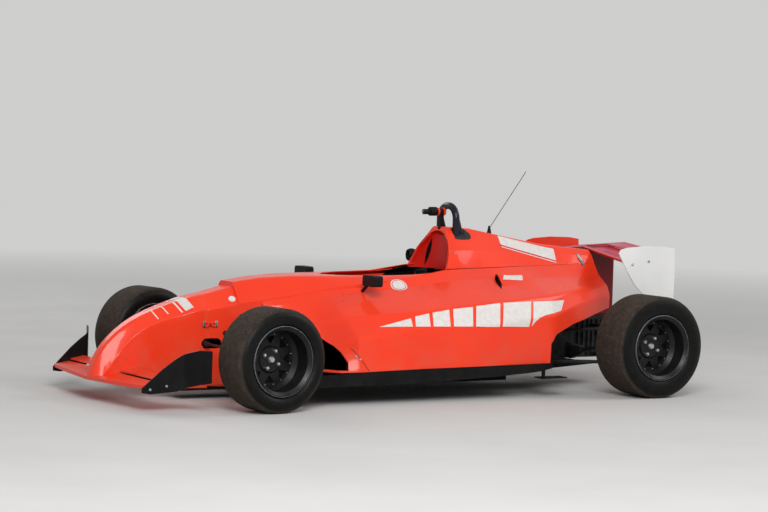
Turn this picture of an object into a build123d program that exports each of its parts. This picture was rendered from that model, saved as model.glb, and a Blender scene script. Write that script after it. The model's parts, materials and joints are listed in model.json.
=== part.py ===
from build123d import *
import math
import os

# Open wheel racing car, a single seater with front and rear wings.
# Millimetres. +X points at the nose, +Y at the driver's left, +Z up.
# The origin is on the ground, at mid-length and mid-width.
# Tables give places along the car as "ahead", the distance ahead of the front axle.

# Overall sizes
wheelbase = 2425.0
front_overhang = 694.0
rear_overhang = 349.0
front_track = 1460.0
rear_track = 1434.0
front_axle_x = (wheelbase + rear_overhang - front_overhang) / 2

# The tables are drawn at this wheelbase. What lies behind mid_cockpit keeps its distance
# to the rear axle when the wheelbase changes.
table_wheelbase = 2425.0
mid_cockpit = -1100.0

# Gaps between pieces
seat_gap = 0.3
running_gap = 5.0
pin_clearance = 0.05

# Wheels and tyres: 13 inch rims
flange_radius = 182.0
bead_radius = 165.0
barrel_thickness = 6.0
rim_lip = 10.0
well_radius = 144.0
well_width = 46.0
stud_circle = 100.0
stud_count = 4
stud_turn = 16.0
nut_radius = 10.0
nut_length = 14.0
pad_height = 8.0
cap_radius = 19.0
cap_height = 26.0
front_tyre_radius = 270.0
front_tyre_width = 235.0
front_tread_width = 196.0
front_rim_width = 216.0
front_face_recess = 128.0
rear_tyre_radius = 285.0
rear_tyre_width = 275.0
rear_tread_width = 240.0
rear_rim_width = 262.0
rear_face_recess = 121.0
tyre_wall = 9.0
face_thickness = 9.0
window_count = 8
disc_radius = 110.0
disc_thickness = 16.0
hub_radius = 62.0
hub_length = 50.0
disc_offset = 26.0
stub_radius = 20.0
joint_setback = 27.7

# Steering
parked_steer = 6.5
kingpin_radius = 8.0
ball_joint_rise = 104.0
steering_arm = 75.0
rack_height = 300.0
rack_ahead = steering_arm
steering_wheel_ahead = -850.0
steering_wheel_height = 505.0
steering_wheel_radius = 130.0
column_slope = 14.0
column_radius = 12.0

# Suspension links
link_radius = 10.0
eye_radius = 17.0
eye_height = 16.0

# Bodywork
skin = 5.0
tub_wall = 25.0
nose_seam = 50.0
cowl_front = -116.0
cowl_rear = -1390.0
cowl_nose_wall = 14.0
tub_rear = -1650.0
body_rear = -2440.0
cockpit_half = 196.0
arch_rim = 9.0
arch_back = -1484.0
floor_height = 105.0
floor_thickness = 10.0
skirt_half = 648.0
skirt_thickness = 6.0
plank_half = 150.0
plank_top = 60.0
plank_thickness = 10.0

# Wings
rear_wing_half = 476.0
endplate_thickness = 5.0
wing_tip_drop = 46.0
endplate_tip = (640, 558)
endplate_bend = (425, 596)

# Engine, gearbox and driveshafts
engine_half = 170.0
gearbox_half = 85.0
gearbox_bottom = 160.0
gearbox_top = 400.0
differential_ahead = -2310.0
differential_height = 205.0
flange_half = 130.0
shaft_radius = 13.0
boot_length = 80.0
tow_eye_radius = 15.0

# Rear wing sections, as (ahead, z): upper arc's front, middle and rear, lower arc's rear,
# middle and front, and the tip of the nose
main_root = [(-2472, 808), (-2555, 792), (-2644, 806), (-2644, 802), (-2555, 769), (-2474, 790), (-2463, 799)]
main_tip = [(-2398, 806), (-2520, 786), (-2644, 806), (-2644, 802), (-2520, 763), (-2400, 788), (-2389, 797)]
flap_section = [(-2636, 819), (-2700, 813), (-2762, 827), (-2762, 824), (-2700, 803), (-2638, 809), (-2632, 814)]

# Main roll hoop and what it carries
hoop_ahead = -1521.0
hoop_top = 1055.0
hoop_tube = 40.0
hoop_half = 84.0


def at(ahead, y=0.0, z=0.0):
    """Place at a distance ahead of the front axle, drawn at the tables' wheelbase."""
    shift = table_wheelbase - wheelbase if ahead < mid_cockpit else 0.0
    return Vector(front_axle_x + ahead + shift, y, z)


def rounded_outline(points, radii):
    """Closed outline of lines and arcs: one radius a corner, limited by the sides that meet there."""
    corners = [Vector(*point) for point in points]
    count = len(corners)
    arcs = []
    for index, (corner, radius) in enumerate(zip(corners, radii)):
        before = corners[index - 1] - corner
        after = corners[(index + 1) % count] - corner
        half_angle = math.radians(before.get_angle(after)) / 2
        reach = min(radius / math.tan(half_angle), 0.45 * min(before.length, after.length))
        limited = reach * math.tan(half_angle)
        inward = (before.normalized() + after.normalized()).normalized()
        centre = corner + inward * (limited / math.sin(half_angle))
        start = corner + before.normalized() * reach
        finish = corner + after.normalized() * reach
        arcs.append((start, centre - inward * limited, finish))
    edges = []
    for index, (start, middle, finish) in enumerate(arcs):
        edges.append(Line(arcs[index - 1][2], start))
        edges.append(ThreePointArc(start, middle, finish))
    return edges


def cross_section(ahead, points, radii):
    """Closed face across the car, from (y, z) corners with one radius each."""
    plane = Plane(at(ahead), x_dir=(0, 1, 0), z_dir=(1, 0, 0))
    return plane * make_face(rounded_outline(points, radii))


def side_profile(points, y_low, y_high):
    """Prism across the car, from (ahead, z) corners."""
    outline = [(at(ahead).X, z) for ahead, z in points]
    plane = Plane((0, y_low, 0), x_dir=(1, 0, 0), z_dir=(0, -1, 0))
    face = plane * make_face(Polyline(*outline, close=True))
    return extrude(face, amount=-(y_high - y_low))


def plan_profile(points, z_low, z_high):
    """Upright prism, from (ahead, y) corners."""
    outline = [(at(ahead).X, y) for ahead, y in points]
    face = Plane.XY.offset(z_low) * make_face(Polyline(*outline, close=True))
    return extrude(face, amount=z_high - z_low)


def rod(start, end, radius):
    """Round bar from one point to another."""
    start = Vector(start)
    end = Vector(end)
    run = end - start
    plane = Plane(start, z_dir=run)
    return extrude(plane * Circle(radius), amount=run.length)


def tube_path(points, radii, tube_radius):
    """Bent round bar along straight runs joined by arcs."""
    path = FilletPolyline(*points, radius=radii)
    start = Plane(path @ 0, z_dir=path % 0)
    return sweep(start * Circle(tube_radius), path=path)


def mirrored(shape):
    """The same shape on the right-hand side."""
    return mirror(shape, about=Plane.XZ)


def both_sides(shape):
    """Left and right solids kept apart in one piece."""
    return Compound(children=solids_of(shape) + solids_of(mirrored(shape)))


def solids_of(shape):
    return list(shape.solids())


def save(name, shape):
    """Write one piece."""
    solids = solids_of(shape)
    piece = solids[0] if len(solids) == 1 else Compound(children=solids)
    export_step(piece, f"parts/{name}.step")


# Nose and tub sections
# Columns: ahead, z_low, half_low, half_crease, z_crease, half_top, z_crown
nose_rows = [
    (684, 118, 30, 42, 126, 18, 138),
    (620, 121, 60, 70, 150, 34, 279),
    (549, 132, 68, 76, 242, 36, 355),
    (470, 150, 78, 88, 335, 40, 412),
    (380, 143, 90, 99, 396, 45, 458),
    (225, 92, 108, 119, 445, 52, 514),
    (nose_seam, 68, 132, 141, 479, 60, 557),
]
scuttle_rows = [
    (nose_seam, 68, 132, 141, 479, 60, 557),
    (cowl_front, 63, 152, 154, 506, 70, 598),
]

# Keel wedge under the nose's rear: side view as (ahead, z) and plan as (ahead, y)
keel_side = [(198, 61), (198, 66), (120, 112), (nose_seam, 130), (nose_seam, 61)]
keel_plan = [(198, 92), (nose_seam, 128)]

# Columns: ahead, z_low, half_low, half_crease, z_crease
tub_rows = [
    (cowl_front, 63, 152, 154, 506),
    (-422, 61, 192, 190, 551),
    (-824, plank_top, 225, 258, 620),
    (cowl_rear, plank_top, 235, 262, 648),
    (tub_rear, plank_top, 235, 235, 648),
]

# Columns: ahead, half_base, z_base, half_top, z_crown
cowl_rows = [
    (cowl_front, 154, 506, 70, 622),
    (-289, 172, 531, 92, 645),
    (-472, 195, 557, 118, 655),
    (-700, 236, 600, 165, 655),
    (-948, 260, 626, 205, 656),
    (-1180, 261, 638, 209, 661),
    (-1300, 262, 644, 211, 670),
    (cowl_rear, 262, 648, 212, 688),
]

# Sidepod and rear deck sections, left side
# Columns: ahead, half_in, z_in, half_valley, z_valley, half_shoulder, z_shoulder,
#          half_max, z_max, half_low, z_low
pod_rows = [
    (-250, 168, 524, 178, 500, 182, 456, 186, 400, 190, 165),
    (-390, 192, 546, 222, 508, 268, 428, 350, 344, 396, 169),
    (-495, 204, 562, 254, 520, 348, 416, 500, 296, 606, 173),
    (-600, 222, 580, 270, 548, 448, 452, 600, 352, 640, 177),
    (-970, 258, 628, 300, 590, 588, 490, 644, 408, 650, 187),
    (cowl_rear, 240, 690, 318, 638, 600, 526, 646, 414, 650, 191),
    (-1850, 214, 702, 330, 646, 560, 560, 610, 450, 606, 191),
    (-2150, 186, 708, 286, 642, 424, 590, 476, 520, 470, 191),
    (body_rear, 148, 716, 196, 650, 286, 590, 312, 542, 300, 191),
]

# Air inlet's edge on the sidepod, as (ahead, z); below it a low lip of the panel runs on forward
inlet_lip = 186.0
inlet_edge = [(-538, inlet_lip), (-545, 229), (-527, 276), (-503, 312), (-470, 346), (-420, 376),
              (-350, 402), (-240, 428), (-200, 428), (-200, 100), (-410, 100), (-425, inlet_lip)]

# Deck scoop's mouth and tail, as (y, z)
scoop_mouth = [(316, 628), (331, 668), (346, 668), (408, 612), (406, 588)]
scoop_slot = [(325, 640), (336, 661), (344, 661), (399, 610), (396, 600)]
scoop_tail = [(330, 630), (336, 641), (344, 641), (408, 612), (404, 600)]
scoop_front = -1636
scoop_rear = -1895

# Underside of the floor beside the tub, as (ahead, z)
floor_line = [(-180, 104), (-880, 112), (-980, 112), (-1430, 130), (-1690, 146), (-1850, 162)]
floor_plan = [(-180, 0), (-180, 150), (-262, 330), (-288, 560), (-304, 622), (-350, skirt_half),
              (-1500, skirt_half), (-1750, 640), (-1850, 606), (-1850, 0)]

# Headrest arch: foot and head of its leaning front face, as (ahead, z), and the cover's
# outline along it
# Columns: ahead, half, z
arch_foot = (-1376, 650)
arch_head = (-1468, 925)
arch_outline = [(-1389, 214, 690), (-1422, 172, 790), (-1462, 63, 908)]

# Slope under the nose that the front wing's blade is seated on, as (ahead, z)
wing_cut = [(720, 126.6), (540, 150), (540, 60), (720, 60)]

# Engine cover sections
# Columns: ahead, half_base, z_base, half_mid, z_mid, half_top, z_top
cover_rows = [
    (cowl_rear, 214, 690, 170, 790, 62, 900),
    (-1470, 222, 693, 176, 790, 66, 918),
    (-1621, 230, 698, 160, 790, 60, 910),
    (-1850, 214, 703, 140, 785, 60, 868),
    (-2100, 190, 707, 130, 770, 72, 822),
    (body_rear, 150, 716, 122, 756, 92, 788),
]


def nose_section(row):
    ahead, z_low, half_low, half_crease, z_crease, half_top, z_crown = row
    points = [
        (-half_low, z_low), (half_low, z_low), (half_crease, z_crease),
        (half_top, z_crown), (-half_top, z_crown), (-half_crease, z_crease),
    ]
    low = min(18.0, (z_crease - z_low) * 0.3)
    top = half_top * 0.7
    return cross_section(ahead, points, [low, low, 6.0, top, top, 6.0])


def tub_section(row, wall=0.0):
    ahead, z_low, half_low, half_crease, z_crease = row
    points = [
        (-half_low + wall, z_low + wall), (half_low - wall, z_low + wall),
        (half_crease - wall, z_crease - wall), (-half_crease + wall, z_crease - wall),
    ]
    return cross_section(ahead, points, [30.0, 30.0, 3.0, 3.0])


def cowl_section(row, wall=0.0):
    ahead, half_base, z_base, half_top, z_crown = row
    drop = 40.0 if wall else 0.0
    points = [
        (-half_base + wall, z_base - drop), (half_base - wall, z_base - drop),
        (half_base - wall, z_base + 4.0),
        (half_top - wall * 0.5, z_crown - wall), (-half_top + wall * 0.5, z_crown - wall),
        (-half_base + wall, z_base + 4.0),
    ]
    top = half_top * 0.45
    return cross_section(ahead, points, [1.0, 1.0, 3.0, top, top, 3.0])


def pod_section(row, inner=False):
    ahead, half_in, z_in, half_valley, z_valley, half_shoulder, z_shoulder, half_max, z_max, half_low, z_low = row
    if inner:
        points = [
            (-50, z_low - 60), (half_low - skin, z_low - 60), (half_max - skin, z_max),
            (half_shoulder - skin * 0.6, z_shoulder - skin), (half_valley, z_valley - skin),
            (half_in + 0.5, z_in - skin), (half_in, z_in + 60), (-50, z_in + 60),
        ]
    else:
        points = [
            (0, z_low), (half_low, z_low), (half_max, z_max),
            (half_shoulder, z_shoulder), (half_valley, z_valley),
            (half_in, z_in), (0, z_in),
        ]
    radii = [2.0, 2.0, 45.0, 45.0, 30.0, 1.0, 1.0]
    if inner:
        radii = [2.0, 2.0, 40.0, 40.0, 35.0, 1.0, 1.0, 1.0]
    return cross_section(ahead, points, radii)


def cover_section(row, wall=0.0):
    ahead, half_base, z_base, half_mid, z_mid, half_top, z_top = row
    drop = 40.0 if wall else 0.0
    points = [
        (-half_base + wall, z_base - drop), (half_base - wall, z_base - drop),
        (half_mid - wall, z_mid), (half_top - wall * 0.5, z_top - wall),
        (-half_top + wall * 0.5, z_top - wall), (-half_mid + wall, z_mid),
    ]
    top = half_top * 0.55
    return cross_section(ahead, points, [1.0, 1.0, 40.0, top, top, 40.0])


def cockpit_opening():
    """Plan outline of the cockpit opening, pointed at the front."""
    left = [(-690, 0), (-760, 95), (-900, cockpit_half - 18), (-1060, cockpit_half), (cowl_rear - 40, cockpit_half)]
    right = [(ahead, -y) for ahead, y in reversed(left) if y]
    return plan_profile(left + right, 400, 1200)


def build_body():
    """Tub, nose, cowl, engine cover and sidepods, cut to meet one another."""
    nose = loft([nose_section(row) for row in nose_rows])
    keel = keel_plan + [(ahead, -y) for ahead, y in reversed(keel_plan)]
    nose += plan_profile(keel, 50, 140) & side_profile(keel_side, -140, 140)
    tub = loft([tub_section(row) for row in tub_rows], ruled=True)
    tub += loft([nose_section(row) for row in scuttle_rows], ruled=True)
    cell = loft([tub_section(row, tub_wall) for row in tub_rows[:4]], ruled=True)
    footwell_rows = [(nose_seam - tub_wall, 68, 128, 136, 470), tub_rows[0]]
    cell += loft([tub_section(row, tub_wall) for row in footwell_rows], ruled=True)
    cowl = loft([cowl_section(row) for row in cowl_rows], ruled=True)
    under_cowl = [(cowl_front - cowl_nose_wall, *cowl_rows[0][1:])] + cowl_rows[1:]
    cowl -= loft([cowl_section(row, skin) for row in under_cowl], ruled=True)
    pod = loft([pod_section(row) for row in pod_rows], ruled=True)
    pod -= loft([pod_section(row, inner=True) for row in pod_rows], ruled=True)
    cover = loft([cover_section(row) for row in cover_rows], ruled=True)
    hollow = loft([cover_section(row, skin) for row in cover_rows], ruled=True)
    shell = cover - hollow
    plug = cover & box_between((arch_back - skin, -300, 600), (arch_foot[0] + 6, 300, 1000))
    foot, head = arch_foot, arch_head
    slope = [(foot[0] + 76, foot[1]), foot, head, (head[0], 1000), (foot[0] + 76, 1000)]
    cover = shell + plug - headrest_bowl() - side_profile(slope, -300, 300)
    for side in (1, -1):
        cover -= bowl_slot(side)
    cover -= hoop_slots()
    opening = cockpit_opening()
    tub_outer = tub
    tub = tub - cell - opening
    cowl = largest(cowl - opening - cover_outer() - tub_outer)
    pod += deck_scoop()
    pod = pod - tub_outer - cowl_outer() - cover_outer()
    pod -= wheel_arch()
    pod -= side_profile(inlet_edge, -20, 800)
    pod = largest(pod)
    for side in (1, -1):
        port = suspension_port(side)
        nose -= port
        tub -= port
    nose -= box_between((0, -120, rack_height - 34), (rack_ahead + 34, 120, rack_height + 34))
    nose -= side_profile(wing_cut, -800, 800)
    tub -= column_bore()
    return nose, tub, cowl, pod, cover, tub_outer


def cover_outer():
    return loft([cover_section(row) for row in cover_rows], ruled=True)


def cowl_outer():
    return loft([cowl_section(row) for row in cowl_rows], ruled=True)


def box_between(low, high):
    """Box from two corners given as (ahead, y, z)."""
    sizes = [b - a for a, b in zip(low, high)]
    middle = [(a + b) / 2 for a, b in zip(low, high)]
    return Pos(*at(*middle)) * Box(*sizes)


def largest(shape):
    """The largest solid of a shape."""
    return max(solids_of(shape), key=lambda solid: solid.volume)


def arch_plane(lift):
    """Plane of the headrest arch, which leans back; its origin is at the arch's foot."""
    foot, head = at(arch_foot[0], 0, arch_foot[1]), at(arch_head[0], 0, arch_head[1])
    run = (head - foot).normalized()
    facing = Vector(run.Z, 0, -run.X)
    return Plane(foot + facing * lift, x_dir=(0, 1, 0), z_dir=facing)


def headrest_bowl():
    """Hollow behind the arch's rim, from the leaning front face to an upright back wall."""
    halves = [(half, z) for ahead, half, z in arch_outline]
    front = [(half - arch_rim, (z - arch_foot[1]) / math.cos(arch_lean())) for half, z in halves]
    front[0] = (front[0][0], front[0][1] - 18)
    front[-1] = (front[-1][0], front[-1][1] - arch_rim)
    back = [(half * 0.86, z - 6) for half, z in halves]
    back[-1] = (back[-1][0], halves[-1][1] - 40)
    faces = []
    for plane, side in ((arch_plane(4), front), (Plane(at(arch_back), x_dir=(0, 1, 0), z_dir=(1, 0, 0)), back)):
        points = [(-y, z) for y, z in side] + [(y, z) for y, z in reversed(side)]
        radii = [24, 60, 30, 30, 60, 24]
        faces.append(plane * make_face(rounded_outline(points, radii)))
    return loft(faces, ruled=True)


def arch_lean():
    """Angle by which the arch leans back from the vertical."""
    return math.atan2(arch_foot[0] - arch_head[0], arch_head[1] - arch_foot[1])


def bowl_slot(side):
    """Leaf-shaped air slot at one side of the bowl's back wall."""
    low = (side * 162.0, 690.0)
    high = (side * 100.0, 852.0)
    leaf = [ThreePointArc(low, (side * 142, 790), high), ThreePointArc(high, (side * 112, 770), low)]
    plane = Plane(at(arch_back + 4), x_dir=(0, 1, 0), z_dir=(1, 0, 0))
    return extrude(plane * make_face(leaf), amount=-4 * skin)


def deck_scoop():
    """Low fairing on the deck with a forward-facing slot."""
    faces = []
    for ahead, corners in ((scoop_front, scoop_mouth), (scoop_rear, scoop_tail)):
        plane = Plane(at(ahead), x_dir=(0, 1, 0), z_dir=(1, 0, 0))
        faces.append(plane * make_face(Polyline(*corners, close=True)))
    plane = Plane(at(scoop_front + 2), x_dir=(0, 1, 0), z_dir=(1, 0, 0))
    mouth = plane * make_face(Polyline(*scoop_slot, close=True))
    return loft(faces, ruled=True) - extrude(mouth, amount=-22)


def hoop_slots():
    """Slots in the engine cover's top where the roll hoop and its braces come out."""
    slot = Pos(*at(hoop_ahead - 13, hoop_half, 830)) * extrude(RectangleRounded(78, 52, 20), amount=200)
    return slot + mirrored(slot)


def suspension_port(side):
    """Oval port in the nose side for the steering link."""
    plane = Plane(at(rack_ahead - 38, side * 90, rack_height), x_dir=(1, 0, 0), z_dir=(0, side, 0))
    return extrude(plane * SlotOverall(116, 54), amount=150)


def wheel_arch():
    """Space over the rear suspension, cut out of the deck."""
    points = [(-1834, 150), (-1837, 300), (-1880, 350), (-2040, 398), (-2290, 442), (-2480, 474), (-2480, 150)]
    return side_profile(points, -20, 800)


def column_line():
    """Steering column's axis: wheel centre, and its lower end at the rack."""
    centre = at(steering_wheel_ahead, 0, steering_wheel_height)
    run = rack_ahead - 30 - steering_wheel_ahead
    lower = at(rack_ahead - 30, 0, steering_wheel_height - run * math.tan(math.radians(column_slope)))
    return centre, lower


def column_bore():
    centre, lower = column_line()
    return rod(centre + (lower - centre) * 0.8, lower + (lower - centre) * 0.05, column_radius + pin_clearance)


# Wheels, drawn round the Y axis with the outer side at +Y

def ring(outline):
    """Solid of revolution round the wheel's axle, from (radius, y) corners."""
    return revolve(make_face(Polyline(*outline, close=True)), axis=Axis.Y)


def face_height(rim_width, recess):
    """Height along the axle of the rim face's outer side."""
    return rim_width / 2 - recess


def hub_mount(rim_width, recess):
    """Height along the axle of the face that the rim is bolted to."""
    return face_height(rim_width, recess) - face_thickness - seat_gap


def joint_plane(rim_width, recess):
    """Height along the axle of the upright's ball joints."""
    return hub_mount(rim_width, recess) - hub_length - running_gap - joint_setback


def build_rim(rim_width, recess):
    half = rim_width / 2
    face_y = face_height(rim_width, recess)
    well_out = face_y + 6
    well_in = max(face_y - well_width, rim_lip + 30 - half)
    t = barrel_thickness
    outline = [
        (flange_radius, half), (flange_radius, half - rim_lip), (bead_radius + 2, half - rim_lip - 2),
        (bead_radius, well_out + 22), (well_radius, well_out), (well_radius, well_in), (bead_radius, well_in - 22),
        (bead_radius + 2, -half + rim_lip + 2), (flange_radius, -half + rim_lip), (flange_radius, -half),
        (flange_radius - t, -half), (bead_radius - t, -half + rim_lip + 4), (bead_radius - t, well_in - 20),
        (well_radius - t, well_in + 2), (well_radius - t, well_out - 2), (bead_radius - t, well_out + 20),
        (bead_radius - t, half - rim_lip - 4), (flange_radius - t, half),
    ]
    rim = ring(outline)
    inner_y = face_y - face_thickness
    rim += ring([(12, inner_y), (well_radius - t / 2, inner_y), (well_radius - t / 2, face_y), (72, face_y),
                 (64, face_y + pad_height), (12, face_y + pad_height)])
    window = make_face(rounded_outline([(81, 0), (119, -29), (122, 0), (119, 29)], [4, 4, 60, 4]))
    plane = Plane((0, inner_y - 5, 0), x_dir=(1, 0, 0), z_dir=(0, 1, 0))
    for number in range(window_count):
        turn = Rot(Y=360 / window_count * number)
        rim -= turn * extrude(plane * window, amount=face_thickness + 15)
    seat = Plane((0, face_y + pad_height, 0), x_dir=(1, 0, 0), z_dir=(0, 1, 0))
    nut = extrude(seat * RegularPolygon(nut_radius, 6), amount=nut_length)
    nut += Pos(0, face_y + pad_height + nut_length, 0) * Sphere(nut_radius * 0.72)
    for number in range(stud_count):
        rim += Rot(Y=360 / stud_count * (number + 0.5) + stud_turn) * Pos(stud_circle / 2, 0, 0) * nut
    rim += ring([(0, face_y), (cap_radius, face_y), (cap_radius, face_y + cap_height - 8),
                 (cap_radius - 6, face_y + cap_height), (0, face_y + cap_height)])
    return rim


def build_tyre(radius, width, tread, rim_width):
    half = width / 2
    bead_y = rim_width / 2 - rim_lip - 2.0 - seat_gap
    crown = tread / 2
    wall = tyre_wall
    inner_radius = bead_radius + 2 + seat_gap
    middle_radius = (flange_radius + radius) / 2 - 4
    shoulder = (radius - 5, crown - 2)
    outer = [
        Line((inner_radius, bead_y), (flange_radius + 3, bead_y)),
        Line((flange_radius + 3, bead_y), (flange_radius + 8, bead_y + 8)),
        ThreePointArc((flange_radius + 8, bead_y + 8), (middle_radius, half), (radius - 18, crown + 8)),
        ThreePointArc((radius - 18, crown + 8), (radius - 7, crown + 1), (radius, crown - 14)),
        Line((radius, crown - 14), (radius, 14 - crown)),
        ThreePointArc((radius, 14 - crown), (radius - 7, -crown - 1), (radius - 18, -crown - 8)),
        ThreePointArc((radius - 18, -crown - 8), (middle_radius, -half), (flange_radius + 8, -bead_y - 8)),
        Line((flange_radius + 8, -bead_y - 8), (flange_radius + 3, -bead_y)),
        Line((flange_radius + 3, -bead_y), (inner_radius, -bead_y)),
        Line((inner_radius, -bead_y), (inner_radius, -bead_y + wall)),
        Line((inner_radius, -bead_y + wall), (middle_radius, -half + wall)),
        Line((middle_radius, -half + wall), (radius - wall - 6, -crown + 4)),
        Line((radius - wall - 6, -crown + 4), (radius - wall, -crown + 22)),
        Line((radius - wall, -crown + 22), (radius - wall, crown - 22)),
        Line((radius - wall, crown - 22), (radius - wall - 6, crown - 4)),
        Line((radius - wall - 6, crown - 4), (middle_radius, half - wall)),
        Line((middle_radius, half - wall), (inner_radius, bead_y - wall)),
        Line((inner_radius, bead_y - wall), (inner_radius, bead_y)),
    ]
    return revolve(make_face(outer), axis=Axis.Y)


def build_hub(rim_width, recess):
    """Brake disc with its hub, which turns on the stub axle."""
    mount_y = hub_mount(rim_width, recess)
    bore = stub_radius + pin_clearance
    neck = 34
    hub = ring([(bore, mount_y - hub_length), (neck, mount_y - hub_length), (neck, mount_y - 10),
                (hub_radius, mount_y - 10), (hub_radius, mount_y), (bore, mount_y)])
    disc_out = mount_y - disc_offset
    disc = ring([(neck - 1, disc_out - disc_thickness), (disc_radius, disc_out - disc_thickness),
                 (disc_radius, disc_out), (neck - 1, disc_out)])
    return hub + disc


def build_upright(rim_width, recess, rise, pins):
    """Upright with stub axle, brake caliper and ball joint pins; wheel centre at the origin."""
    mount_y = hub_mount(rim_width, recess)
    pin_y = joint_plane(rim_width, recess)
    inner = mount_y - hub_length - running_gap
    post = Pos(0, pin_y + 2, 0) * Box(44, 34, 2 * rise - 26)
    carrier = Plane((0, pin_y, 0), z_dir=(0, 1, 0)) * Circle(44)
    upright = post + extrude(carrier, amount=inner - pin_y)
    stub = Plane((0, pin_y, 0), z_dir=(0, 1, 0)) * Circle(stub_radius)
    upright += extrude(stub, amount=mount_y - 12 - pin_y)
    for sign in (1, -1):
        pin = Pos(0, pin_y, sign * rise) * Cylinder(kingpin_radius, 32)
        upright += pin
    disc_middle = mount_y - disc_offset - disc_thickness / 2
    slot_half = disc_thickness / 2 + running_gap
    caliper_x = disc_radius - 14
    caliper = Pos(-caliper_x, disc_middle, 14) * Box(40, 2 * slot_half + 28, 90)
    caliper -= Pos(4 - caliper_x, disc_middle, 14) * Box(70, 2 * slot_half, 100)
    caliper += Pos(-disc_radius - 8, disc_middle, 14) * Box(6, 2 * slot_half + 28, 70)
    arm = Pos(-52, inner - 9, 14) * Box(110, 18, 44)
    arm -= Pos(-disc_radius, disc_middle, 14) * Box(90, 2 * slot_half, 120)
    upright += caliper + arm
    if pins:
        reach = rack_height - front_tyre_radius
        steering = Pos(steering_arm / 2, pin_y, reach - 22) * Box(steering_arm + 20, 22, 14)
        steering += Pos(steering_arm, pin_y, reach) * Cylinder(6, 40)
        upright += steering
    return upright


def kingpin_half():
    """Distance of the front ball joints from the car's middle."""
    return front_track / 2 + joint_plane(front_rim_width, front_face_recess)


def rear_joint_half():
    """Distance of the rear ball joints from the car's middle."""
    return rear_track / 2 + joint_plane(rear_rim_width, rear_face_recess)


def steered(shape, side):
    """Turn a straight-ahead front piece to the parked angle about its ball joints."""
    pivot = at(0, side * kingpin_half(), 0)
    return Pos(*pivot) * Rot(Z=parked_steer) * Pos(*(pivot * -1)) * shape


def place_wheel_piece(piece, ahead, track, height, side):
    placed = Pos(*at(ahead, track / 2, height)) * piece
    return placed if side > 0 else mirrored(placed)


def build_wheels():
    sides = (("left", 1), ("right", -1))
    front = (build_rim(front_rim_width, front_face_recess),
             build_tyre(front_tyre_radius, front_tyre_width, front_tread_width, front_rim_width),
             build_hub(front_rim_width, front_face_recess))
    rear = (build_rim(rear_rim_width, rear_face_recess),
            build_tyre(rear_tyre_radius, rear_tyre_width, rear_tread_width, rear_rim_width),
            build_hub(rear_rim_width, rear_face_recess))
    front_upright = build_upright(front_rim_width, front_face_recess, ball_joint_rise, pins=True)
    for side_name, side in sides:
        for piece_name, piece in zip(("rim", "tyre", "brake_disc"), front):
            placed = place_wheel_piece(piece, 0, front_track, front_tyre_radius, side)
            save(f"front_{side_name}_{piece_name}", steered(placed, side))
        upright = place_wheel_piece(front_upright, 0, front_track, front_tyre_radius, side)
        save(f"front_{side_name}_upright", steered(upright, side))
        for piece_name, piece in zip(("rim", "tyre", "brake_disc"), rear):
            placed = place_wheel_piece(piece, -table_wheelbase, rear_track, rear_tyre_radius, side)
            save(f"rear_{side_name}_{piece_name}", placed)
    rear_upright = build_upright(rear_rim_width, rear_face_recess, ball_joint_rise, pins=False)
    placed = place_wheel_piece(rear_upright, -table_wheelbase, rear_track, rear_tyre_radius, 1)
    save("rear_uprights", both_sides(placed))


def wishbone(joint, front_end, rear_end):
    """Two tubes that meet at an eye round the upright's pin; ends as (ahead, y, z)."""
    eye = Pos(*at(*joint)) * Cylinder(eye_radius, eye_height)
    arms = eye
    for end in (front_end, rear_end):
        arms += rod(at(*joint), at(*end), link_radius)
        arms += Pos(*at(*end)) * Sphere(link_radius + 3)
    bore = Pos(*at(*joint)) * Cylinder(kingpin_radius + pin_clearance, 60)
    return arms - bore


def build_suspension(tub_outer, gearbox, engine):
    high, low = front_tyre_radius + ball_joint_rise, front_tyre_radius - ball_joint_rise
    upper = wishbone((0, kingpin_half(), high), (-40, 148, 355), (-300, 176, 355))
    lower = wishbone((0, kingpin_half(), low), (-40, 144, 132), (-330, 180, 138))
    pushrod = rod(at(0, kingpin_half() - 48, low + 8), at(-130, 150, 450), 8)
    front = [largest(upper - tub_outer), largest((lower + pushrod) - tub_outer)]
    save("front_wishbones", both_sides(Compound(children=front)))
    high, low = rear_tyre_radius + ball_joint_rise, rear_tyre_radius - ball_joint_rise
    upper = wishbone((-table_wheelbase, rear_joint_half(), high), (-2045, 165, 322), (-2470, 80, 345))
    lower = wishbone((-table_wheelbase, rear_joint_half(), low), (-2000, 165, 160), (-2500, 80, 178))
    rear = [largest(upper - gearbox - engine), largest(lower - gearbox - engine)]
    save("rear_wishbones", both_sides(Compound(children=rear)))


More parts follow.
